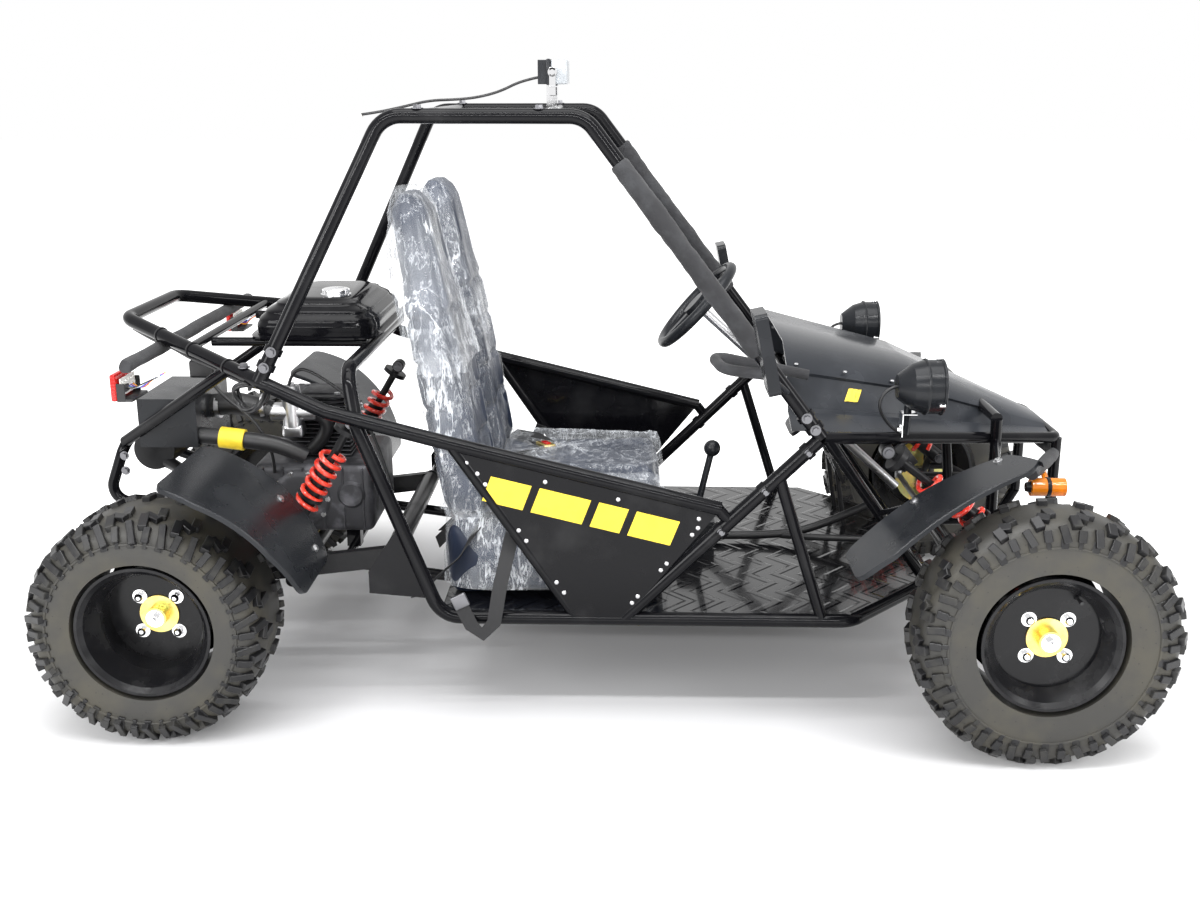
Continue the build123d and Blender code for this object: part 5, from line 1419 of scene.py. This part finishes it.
# Tail lamps: open trays with a red strip behind, a board with small lamps and coloured wires
TAIL_LAMP_W = 0.096
STRIP_T = 0.012
TRAY_T = 0.006
TRAY_WALL = (0.018, 0.003)
BOARD_T, BOARD_H = 0.002, 0.036
SOCKET = (0.006, 0.022, 0.014)
BOARD_LAMPS, BOARD_ROW = 10, 5
BOARD_LAMP_PITCH = (0.0155, 0.012)
WIRE_PITCH, WIRE_R = 0.012, 0.0014


def tail_lamp():
    low, high = node_box("tail_lamps")
    deep, tall = high.x - low.x, high.z - low.z
    middle = Vector(((low.x + high.x) / 2, high.y - TAIL_LAMP_W / 2, (low.z + high.z) / 2))
    x, y, z = middle
    shape = Shape()
    shape.block((STRIP_T, TAIL_LAMP_W, tall - 0.004), (low.x + STRIP_T / 2, y, z), 0.004, 3, 0)
    shape.block((deep - 0.014, TAIL_LAMP_W - 0.006, TRAY_T), (x + 0.005, y, low.z + 0.004), 0.002, 2, 5)
    for sign in (-1, 1):
        wall_y = y + sign * (TAIL_LAMP_W / 2 - 0.004)
        shape.block((*TRAY_WALL, tall - 0.022), (low.x + 0.020, wall_y, z - 0.010), 0.001, 1, 5)
    shape.block((BOARD_T, TAIL_LAMP_W - 0.016, BOARD_H), (x - 0.004, y, z), 0, 1, 1)
    shape.block(SOCKET, middle + Vector((0, 0.020, -0.004)), 0.001, 1, 5)
    for index in range(BOARD_LAMPS):
        across = BOARD_LAMP_PITCH[0] * (index % BOARD_ROW) - 0.031
        up = 0.010 - BOARD_LAMP_PITCH[1] * (index // BOARD_ROW)
        shape.ball(middle + Vector((-0.002, across, up)), 0.0028, 8, 1)
    for index, material in enumerate((2, 3, 4, 1, 5)):
        start = middle + Vector((-0.002, WIRE_PITCH * index - 0.024, -0.004))
        bends = ((0.020, 0.004, 0.004 * index - 0.016), (0.044, -0.006, 0.012), (0.066, -0.014, 0.020))
        route = [start] + [start + Vector(bend) for bend in bends]
        shape.wire(route, WIRE_R, material=material, steps=2)
    return shape


def tail_lamp_parts():
    finishes = ("red_lens", "white_plastic", "orange_wire", "purple_wire", "blue_wire", "cable_black")
    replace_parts(both_sides(tail_lamp).piece("tail_lamp_parts", finishes), "tail_lamps")


# Fuel tank: rounded dome with two grooves, and a fluted cap
TANK_ROWS = (                # height share, half length, half width
    (0.00, 0.1460, 0.2140),
    (0.06, 0.1460, 0.2140),
    (0.075, 0.1350, 0.2040),
    (0.30, 0.1345, 0.2030),
    (0.46, 0.1300, 0.1985),
    (0.66, 0.1170, 0.1850),
    (0.86, 0.0950, 0.1630),
    (0.97, 0.0760, 0.1440),
    (1.00, 0.0600, 0.1280),
)
TANK_GROOVE_Y, TANK_GROOVE_HALF, TANK_GROOVE_DEPTH = 0.130, 0.007, 0.003
TANK_GROOVE_SPAN = (0.08, 0.92)
CAP_ROWS = (                 # inward from the cap's radius, up from its foot
    (0.0, 0.0), (0.0, 0.003), (0.004, 0.0045), (0.004, 0.012), (0.006, 0.0145), (0.013, 0.016),
)
CAP_FLUTES, CAP_FLUTE = 24, (0.0022, 0.0045, 0.0085)
CAP_GRIP = (0.040, 0.009, 0.005)
CAP_GRIP_TURN = 0.5


def tank_body():
    low, high = node_box("fuel_tank")
    middle, height = (low + high) / 2, high.z - low.z

    def surface(u, v):
        x, y = rounded(u, *ease(TANK_ROWS, v), 0.30)
        in_groove = abs(abs(y) - TANK_GROOVE_Y) < TANK_GROOVE_HALF and x > 0
        in_groove = in_groove and TANK_GROOVE_SPAN[0] < v < TANK_GROOVE_SPAN[1]
        return Vector((middle.x + x - TANK_GROOVE_DEPTH * in_groove, y, low.z + height * v))
    return Shape().skin(surface, 160, 40, caps="low high")


def tank_cap():
    low, high = node_box("tank_cap")
    middle, radius = (low + high) / 2, (high.x - low.x) / 2
    base = Matrix.Translation((middle.x, middle.y, low.z))
    profile = [(radius - inward, up) for inward, up in CAP_ROWS]
    cap = Shape().turned([(0.0, 0.0)] + profile + [(0.0, CAP_ROWS[-1][1])], base, 72)
    for index in range(CAP_FLUTES):
        turn = Matrix.Rotation(2 * math.pi * index / CAP_FLUTES, 4, "Z")
        cap.block(CAP_FLUTE, base @ turn @ Matrix.Translation((radius - 0.0042, 0, 0.0085)), 0.0008, 1)
    grip = base @ Matrix.Rotation(CAP_GRIP_TURN, 4, "Z") @ Matrix.Translation((0, 0, 0.0145))
    return cap.block(CAP_GRIP, grip, 0.002)


def tank_parts():
    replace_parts(tank_body().piece("fuel_tank_body", ("tank_paint",)), "fuel_tank")
    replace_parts(tank_cap().piece("tank_cap_body", ("chrome_trim",)), "tank_cap")


# Foam: sleeves and bars with dents and rounded ends
FOAM_R = 0.021
FOAM_SKIN = 0.001            # room for the dents
FOAM_END = 0.006             # length of a rounded end, and of a step along the foam
FOAM_DENT, FOAM_CREASE = 0.0018, 0.0016
SLEEVE_SHARES = (0.14, 0.73)              # along the windscreen's leg
RACK_BAR_SHARE, RACK_BAR_DROP, RACK_BAR_HALF = 0.26, 0.0303, 0.45
NOSE_BAR_DROP = 0.036
NOSE_BAR_BEND = 0.030
BEND_SHARES = (0.0, 0.25, 0.5, 0.75, 1.0)


def foam_tube(points, radius, seed):
    lengths = [(b - a).length for a, b in zip(points, points[1:])]
    total = sum(lengths)

    def surface(u, v):
        left, step = total * v, 0
        while step < len(lengths) - 1 and left > lengths[step]:
            left -= lengths[step]
            step += 1
        a, b = points[step], points[step + 1]
        here = a.lerp(b, min(1.0, left / lengths[step]))
        edge = min(v, 1 - v) * total / FOAM_END
        reach = radius * (1 if edge > 1 else 0.90 + 0.10 * math.sqrt(max(0.0, 1 - (1 - edge) ** 2)))
        angle = 2 * math.pi * u
        out = toward(b - a).to_3x3() @ Vector((math.cos(angle), math.sin(angle), 0))
        dent = noise.noise(here * 14.0 + out * 0.8 + Vector((seed, 0, 0))) * FOAM_DENT
        dent -= crease((here.x * 30, here.z * 30, u * 4), seed) * FOAM_CREASE
        return here + out * (reach + dent - FOAM_SKIN)
    return Shape().skin(surface, 32, max(24, int(total / FOAM_END)), caps="low high")


def nose_bar_line():
    """The bumper's upper line, across the nose, with its corners rounded."""
    line = [at("bar_end", -1), at("nose", -1), at("nose"), at("bar_end")]
    line = [point - Vector((0, 0, NOSE_BAR_DROP)) for point in line]
    bend = []
    for before, here, after in zip(line, line[1:], line[2:]):
        start = here + (before - here).normalized() * NOSE_BAR_BEND
        end = here + (after - here).normalized() * NOSE_BAR_BEND
        bend += [start.lerp(here, share).lerp(here.lerp(end, share), share) for share in BEND_SHARES]
    return [line[0]] + bend + [line[-1]]


def foam():
    lines = []
    for name, side in SIDES:
        ends = [at("roof_front", side).lerp(at("dash", side), share) for share in SLEEVE_SHARES]
        lines.append((f"foam_sleeve_{name}", ends, FOAM_R, 3.1 * side))
    bar = at("rack_corner").lerp(at("hoop_foot"), RACK_BAR_SHARE)
    ends = [Vector((bar.x, y, bar.z - RACK_BAR_DROP)) for y in (-RACK_BAR_HALF, RACK_BAR_HALF)]
    lines.append(("foam_rack_bar", ends, TUBE_R, 8.2))
    lines.append(("foam_nose_bar", nose_bar_line(), TUBE_R, 5.7))
    for name, points, radius, seed in lines:
        made = foam_tube(points, radius + FOAM_SKIN, seed).piece(name, ("foam",))
        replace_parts(made, "foam_pads")


# Cockpit: belts with their buckles, lever gaiter and pedal rubbers
BELTS = (                    # width, the way the strap faces, route from the rear axle and the ground
    (0.046, (0, 0.3, 1), (
        (0.520, 0.045, 0.250), (0.600, 0.040, 0.330), (0.640, 0.060, 0.410), (0.690, 0.110, 0.428),
        (0.740, 0.170, 0.424), (0.765, 0.200, 0.418))),
    (0.046, (0, -0.3, 1), (
        (0.520, 0.400, 0.250), (0.620, 0.392, 0.340), (0.670, 0.350, 0.420), (0.730, 0.290, 0.428),
        (0.770, 0.230, 0.422))),
    (0.030, (0, 1, 0), (
        (0.746, 0.395, 0.430), (0.735, 0.440, 0.400), (0.712, 0.482, 0.300), (0.700, 0.487, 0.228),
        (0.676, 0.489, 0.203), (0.652, 0.487, 0.222), (0.634, 0.487, 0.262))),
)
BELT_HALF_T = 0.0009
BUCKLE_PLACE, BUCKLE_TURN = (0.768, 0.214, 0.424), 0.5
BUCKLE, BUTTON = (0.034, 0.056, 0.013), (0.016, 0.030, 0.004)
TONGUE_PLACE, TONGUE_TURN = (0.630, 0.487, 0.276), math.radians(65)
TONGUE = (0.030, 0.010, 0.034)
GAITER_FOLDS, GAITER_FOLD_H = 12, 0.005
GAITER_R, GAITER_TAPER, GAITER_FOLD = 0.036, 0.0011, 0.003
PEDAL_Y = (0.165, 0.290)
PEDAL_TILT = math.radians(-25)
PEDAL_RIBS, PEDAL_RIB_PITCH, PEDAL_RIB = 5, 0.013, (0.004, 0.052, 0.005)


def belt(shape, width, normal, route):
    """A flat strap along a route, with its edges turned along the normal's cross."""
    points = [spot(*point) for point in route]
    rings = []
    for index, point in enumerate(points):
        run = (points[min(index + 1, len(points) - 1)] - points[max(index - 1, 0)]).normalized()
        side = run.cross(Vector(normal)).normalized() * width / 2
        lift = side.cross(run).normalized() * BELT_HALF_T
        rings.append([point + a * side + b * lift for a, b in ((-1, -1), (1, -1), (1, 1), (-1, 1))])
    shape.loft(rings)


def belts():
    shape = Shape()
    for row in BELTS:
        belt(shape, *row)
    place = Matrix.Translation(spot(*BUCKLE_PLACE)) @ Matrix.Rotation(BUCKLE_TURN, 4, "Z")
    shape.block(BUCKLE, place, 0.004, 3, 1)
    shape.block(BUTTON, place @ Matrix.Translation((0, 0, 0.0075)), 0.002, 2, 2)
    hung = Matrix.Translation(spot(*TONGUE_PLACE)) @ Matrix.Rotation(TONGUE_TURN, 4, "Y")
    return shape.block(TONGUE, hung, 0.003, 3, 3)


def cockpit():
    finishes = ("webbing", "gold_zinc", "red_lens", "dark_steel")
    both_sides(belts).piece("seat_belts", finishes, slot="cable_black")
    profile = []
    for index in range(GAITER_FOLDS):
        radius = GAITER_R - GAITER_TAPER * index + GAITER_FOLD * (index % 2)
        profile.append((radius, GAITER_FOLD_H * index))
    shape = Shape().turned(profile, Matrix.Translation(spot(0.625 * WHEELBASE, 0, 0.302)), 40)
    for y in PEDAL_Y:
        top = spot(0.845 * WHEELBASE - 0.0252, y, 0.3922)
        place = Matrix.Translation(top) @ Matrix.Rotation(PEDAL_TILT, 4, "Y")
        for row in range(PEDAL_RIBS):
            up = PEDAL_RIB_PITCH * (row - PEDAL_RIBS // 2)
            shape.block(PEDAL_RIB, place @ Matrix.Translation((-0.0055, 0, up)), 0.001, 1)
    shape.piece("control_trim", ("cable_black",))


# Fenders: thin sheets on an arc over each tyre, with a turned-down edge
FENDER_T = 0.0025
FENDER_LIP = 0.010
FENDER_CORNER = 0.024
FENDER_ROUND = 0.002
FENDER_STEPS, FENDER_ACROSS = 40, 8
FENDERS = (
    # centre x and z, radius, middle direction, half length, y of both edges, then the inner
    # and the outer edge as rows of (share along, share across)
    (2.0137, -0.1655, 0.805, 121.7, 0.214, 0.454, 0.655,
     ((-1, 0.10), (0.05, 0.0), (0.82, 0.04), (1, 0.40)),
     ((-1, 0.88), (-0.60, 1.0), (0.86, 0.66), (1, 0.50))),
    (0.0, REAR_TYRE_R, 0.340, 45.0, 0.189, 0.365, 0.687,
     ((-1, 0.0), (1, 0.0)),
     ((-1, 0.96), (-0.55, 1.0), (0.40, 0.88), (1, 0.70))),
)
FENDER_STAYS = (             # x, y and z of a stay's foot, and its fender's row
    (0.2256, 0.425, 0.4560, 1),
    (0.3032, 0.425, 0.3640, 1),
    (1.5667, 0.480, 0.4915, 0),
    (1.7238, 0.480, 0.5840, 0),
)
STAY_R = 0.009


def along_line(rows, share):
    for low, high in zip(rows, rows[1:]):
        if share <= high[0]:
            return low[1] + (high[1] - low[1]) * (share - low[0]) / (high[0] - low[0])
    return rows[-1][1]


def fender_section(low, high):
    """The closed outline across a fender between two y, as (y, height): lip, top, lip, underside."""
    lip, t, curl = FENDER_LIP, FENDER_T, FENDER_ROUND
    shares = [step / FENDER_ACROSS for step in range(1, FENDER_ACROSS)]
    ring = [(low, -lip), (low, -curl), (low + curl, 0)]
    ring += [(low + (high - low) * share, 0) for share in shares]
    ring += [(high - curl, 0), (high, -curl), (high, -lip), (high - t, -lip), (high - t, -t)]
    ring += [(high - (high - low) * share, -t) for share in shares]
    return ring + [(low + t, -t), (low + t, -lip)]


def fender(shape, x, z, radius, middle, half, y0, y1, inner, outer):
    rings = []
    for index in range(FENDER_STEPS + 1):
        share = math.sin(math.pi * (index / FENDER_STEPS - 0.5))
        near_end = max(0.0, FENDER_CORNER - (1 - abs(share)) * half)
        cut = FENDER_CORNER - math.sqrt(max(0.0, FENDER_CORNER ** 2 - near_end ** 2))
        low = y0 + (y1 - y0) * along_line(inner, share) + cut
        high = max(y0 + (y1 - y0) * along_line(outer, share) - cut, low + 3 * FENDER_T)
        turn = math.radians(middle) - share * half / radius
        away = Vector((math.cos(turn), 0, math.sin(turn)))
        rings.append([spot(x, y, z) + away * (radius + deep) for y, deep in fender_section(low, high)])
    shape.loft(rings)


def fenders():
    def sheets():
        shape = Shape()
        for row in FENDERS:
            fender(shape, *row)
        return shape
    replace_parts(both_sides(sheets).piece("fender_sheets", ("black_plastic",)), "fenders")

    def fixings():
        shape = Shape()
        for x, y, z, row in FENDER_STAYS:
            centre_x, centre_z, radius = FENDERS[row][:3]
            start, centre = spot(x, y, z), spot(centre_x, y, centre_z)
            out = (start - centre).normalized()
            top = centre + out * radius
            shape.rod(start - out * 0.004, top - out * FENDER_T, STAY_R)
            shape.hexagon(top, out, 0.0065, 0.005, 1)
        return shape
    both_sides(fixings).piece("fender_bolts", ("black_plastic", "bare_steel"))


# Hood: folded sheet with a panel pressed into each side, and a slanted mark on it
HOOD_T = 0.0025
HOOD_TAPER = 0.025           # how much narrower the underside is
HOOD_CROWN = 0.002
HOOD_RECESS = 0.007
HOOD_ROWS = (   # x share, then width and height shares of the top, the folds and the edge
    (0.728, 0.46, 0.620, 0.64, 0.590, 0.77, 0.522, 0.93, 0.503),
    (0.890, 0.33, 0.566, 0.46, 0.541, 0.54, 0.489, 0.67, 0.475),
    (1.074, 0.12, 0.452, 0.17, 0.448, 0.19, 0.442, 0.26, 0.437),
)
HOOD_STATIONS = (0.728, 0.742, 0.746, 0.78, 0.82, 0.86, 0.89, 0.93, 0.97, 1.000, 1.004, 1.04, 1.074)
PRESSED = (0.746, 1.000)     # the stations between which the panel is pressed in
PANEL_EDGES = ((0.10, 0), (0.14, 1), (0.86, 1), (0.90, 0))    # share down the side, pressed or not
MARK_STATIONS = (0.7990, 0.8044, 0.8098)
MARK_SPAN = (0.30, 0.74)     # up the pressed panel
MARK_W, MARK_LEAN, MARK_RISE = 0.010, 0.010, 0.0006


def hood_side(share, recess):
    """Half of the hood's section at a station, from its middle to its edge: (y, z)."""
    for low, high in zip(HOOD_ROWS, HOOD_ROWS[1:]):
        if share <= high[0]:
            part = (share - low[0]) / (high[0] - low[0])
            break
    row = [a + (b - a) * part for a, b in zip(low[1:], high[1:])]
    top, fold, low_fold, edge = [
        Vector((row[2 * k] * BODY_HALF_W, row[2 * k + 1] * CAGE_H)) for k in range(4)
    ]
    run = (low_fold - fold).normalized()
    inward = Vector((run.y, -run.x)) * recess
    panel = [fold.lerp(low_fold, down) + inward * pressed for down, pressed in PANEL_EDGES]
    return [Vector((0, top.y + HOOD_CROWN)), top, fold] + panel + [low_fold, edge]


def hood_ring(share):
    """The hood's closed section at a station: its upper side, then its underside."""
    half = hood_side(share, HOOD_RECESS if PRESSED[0] <= share <= PRESSED[1] else 0.0)
    line = [Vector((-p.x, p.y)) for p in half[:0:-1]] + half
    under = [Vector((p.x * (1 - HOOD_TAPER), p.y - HOOD_T)) for p in line[::-1]]
    return [spot(share * WHEELBASE, p.x, p.y) for p in line + under]


def hood_mark():
    shape = Shape()
    for share in MARK_STATIONS:
        top, foot = hood_side(share, HOOD_RECESS)[4:6]
        low, high = [foot.lerp(top, up) for up in MARK_SPAN]
        run = (top - foot).normalized()
        out = Vector((abs(run.y), abs(run.x))) * MARK_RISE
        corners = ((0, low), (MARK_W, low), (MARK_W + MARK_LEAN, high), (MARK_LEAN, high))
        rings = []
        for lift in (out, -0.5 * out):
            rings.append([spot(share * WHEELBASE + x, *(on + lift)) for x, on in corners])
        shape.loft(rings)
    return shape


def hood():
    made = Shape().loft([hood_ring(share) for share in HOOD_STATIONS])
    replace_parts(made.piece("hood_sheet", ("hood_plastic",), slot="hood_plastic"), "hood")
    both_sides(hood_mark).piece("hood_marks", ("yellow_mark",), slot="black_plastic")


# Tubes between the sill and the dash on each side, their straps, and the tube on the floor
STRAP_SHARES = (0.50, 0.72, 0.93)
STRAP_HALF, STRAP_WALL = 0.008, 0.003
FLOOR_TUBES = (              # radius and route from the rear axle and the ground
    (0.010, (
        (0.960, 0, 0.257), (1.132, 0, 0.257), (1.352, 0, 0.259), (1.450, 0, 0.285), (1.560, 0.02, 0.330))),
    (0.008, ((1.352, 0, 0.259), (1.430, -0.060, 0.272), (1.560, -0.110, 0.290))),
)


def braces():
    shape = Shape()
    low, top = at("brace_low"), at("dash")
    run = (top - low).normalized()
    shape.rod(low, top - run * 0.006, TUBE_R, steps=32)
    shape.rod(at("post_low"), at("post_top"), SMALL_TUBE_R, steps=28)
    front = at("panel_front") - Vector((0.004, 0, 0))
    shape.rod(front, low.lerp(top, 0.545), SMALL_TUBE_R, steps=28)
    for share in STRAP_SHARES:
        seat = low.lerp(top, share)
        shape.rod(seat - run * STRAP_HALF, seat + run * STRAP_HALF, TUBE_R + STRAP_WALL, steps=28)
        shape.hexagon(seat + Vector((0, TUBE_R + 0.001, 0)), (0, 1, 0), 0.0055, 0.005, 1)
    return shape


def side_braces():
    both_sides(braces).piece("side_braces", ("frame_paint", "dark_steel"))
    shape = Shape()
    for radius, route in FLOOR_TUBES:
        shape.wire([spot(*point) for point in route], radius, steps=6)
    shape.piece("floor_tube", ("cable_black",))


# Screws on the hood, and the turn signals' bezels and cups
HOOD_SCREWS = ((0.74, 0.62, 0.590), (0.80, 0.57, 0.573), (0.86, 0.50, 0.552))
SIGNAL_SHARES = (1.046, 0.640, 0.378)
SIGNAL_BEZEL = ((0.0200, -0.004), (0.0215, -0.003), (0.0215, 0.004), (0.0200, 0.005))
SIGNAL_CUP = ((0.0100, -0.047), (0.0206, -0.001), (0.0206, 0.000))


def hood_screws_and_signal():
    shape = Shape()
    for place in HOOD_SCREWS:
        shape.ball(by_shares(*place) + Vector((0, 0, 0.001)), SCREW_R, 12, stretch=(1, 1, 0.6))
    ahead = Matrix.Translation(by_shares(*SIGNAL_SHARES)) @ Matrix.Rotation(math.pi / 2, 4, "Y")
    for profile in (SIGNAL_BEZEL, SIGNAL_CUP):
        shape.turned(profile, ahead, 48, 1)
    return shape


def body_trim():
    finishes = ("bare_steel", "black_plastic")
    both_sides(hood_screws_and_signal).piece("body_trim", finishes, slot="black_plastic")


seats()
seat_film()
springs()
wheel_fasteners()
brakes()
panel_marks()
frame_bolts()
lamps()
engine_parts()
chain()
harness()
tail_lamp_parts()
tank_parts()
foam()
cockpit()
body_trim()
roof_lamp()
engine()
fenders()
hood()
side_braces()


# Stage: pale floor with a painted shadow, soft lamps
FLOOR_HALF = 30.0
FLOOR_CENTRE_Y = -0.05
FLOOR_GLOW = 0.06
PAINTED_SHADOW_REACH = (1.30, 0.80)     # half length and half width of the painted shadow near the vehicle
WORLD_LEVEL = 0.60
LAMPS = (  # name, place, target, size, watts
    ("lamp_top", (0.0, -0.6, 4.2), (0.0, 0.0, 0.4), (3.4, 2.4), 120.0),
    ("lamp_side", (-3.2, -3.4, 2.4), (0.0, 0.0, 0.6), (2.0, 1.6), 90.0),
    ("lamp_front", (3.6, -2.4, 2.2), (0.3, 0.0, 0.5), (1.6, 1.6), 60.0),
    ("lamp_strip_top", (0.1, -1.9, 3.1), (0.0, 0.0, 0.7), (4.4, 0.12), 80.0),
    ("lamp_strip_side", (-0.4, -4.8, 2.3), (0.0, 0.0, 0.6), (4.4, 0.12), 90.0),
)


def floor_pale():
    """Pale grey that keeps the real shadow, with a painted shadow near the vehicle: darker colour and
    little glow there. It glows to white away from it.
    """
    pale = Finish(
        "floor_pale", (0.70, 0.70, 0.71), 0.9, Specular_IOR_Level=0.0, Emission_Strength=1.0
    )
    x = pale.axis(0) * (1 / PAINTED_SHADOW_REACH[0])
    y = pale.axis(1, (0, FLOOR_CENTRE_Y, 0)) * (1 / PAINTED_SHADOW_REACH[1])
    away = x * x + y * y
    # Painted shadow: the floor's colour is darker near the vehicle.
    pale.feed("Base Color", pale.tint((0.60, 0.60, 0.61), (0.88, 0.88, 0.88), away.step(0.3, 2.4)))
    # Little glow near the vehicle, part of the painted shadow, and white glow away from it.
    glow = pale.tint((FLOOR_GLOW,) * 3, (1.0, 1.0, 1.0), away.step(0.7, 3.4))
    return pale.feed("Emission Color", glow).material


def studio():
    """A plain world: white to the camera, in gloss and through glass, dimmer as light."""
    world = bpy.data.worlds.new("studio")
    bpy.context.scene.world = world
    world.use_nodes = True
    tree = world.node_tree
    rays = tree.nodes.new("ShaderNodeLightPath")
    white = rays.outputs["Is Camera Ray"]
    for ray in ("Is Transmission Ray", "Is Glossy Ray"):
        either = tree.nodes.new("ShaderNodeMath")
        either.operation = "MAXIMUM"
        tree.links.new(white, either.inputs[0])
        tree.links.new(rays.outputs[ray], either.inputs[1])
        white = either.outputs[0]
    level = tree.nodes.new("ShaderNodeMapRange")
    level.inputs["To Min"].default_value = WORLD_LEVEL
    level.inputs["To Max"].default_value = 1.0
    tree.links.new(white, level.inputs["Value"])
    tree.links.new(level.outputs[0], tree.nodes["Background"].inputs["Strength"])
    tree.nodes["Background"].inputs["Color"].default_value = (1.0, 1.0, 1.0, 1.0)


def stage():
    shape = bmesh.new()
    bmesh.ops.create_grid(shape, x_segments=1, y_segments=1, size=FLOOR_HALF)
    mesh = bpy.data.meshes.new("floor")
    shape.to_mesh(mesh)
    shape.free()
    mesh.materials.append(floor_pale())
    floor = bpy.data.objects.new("floor", mesh)
    bpy.context.scene.collection.objects.link(floor)
    studio()
    for name, place, target, size, watts in LAMPS:
        data = bpy.data.lights.new(name, "AREA")
        data.shape, data.size, data.size_y, data.energy = "RECTANGLE", *size, watts
        lamp = bpy.data.objects.new(name, data)
        lamp.location = place
        lamp.rotation_euler = (Vector(target) - Vector(place)).to_track_quat("-Z", "Y").to_euler()
        bpy.context.scene.collection.objects.link(lamp)


stage()
bpy.context.scene.view_settings.view_transform = "Standard"
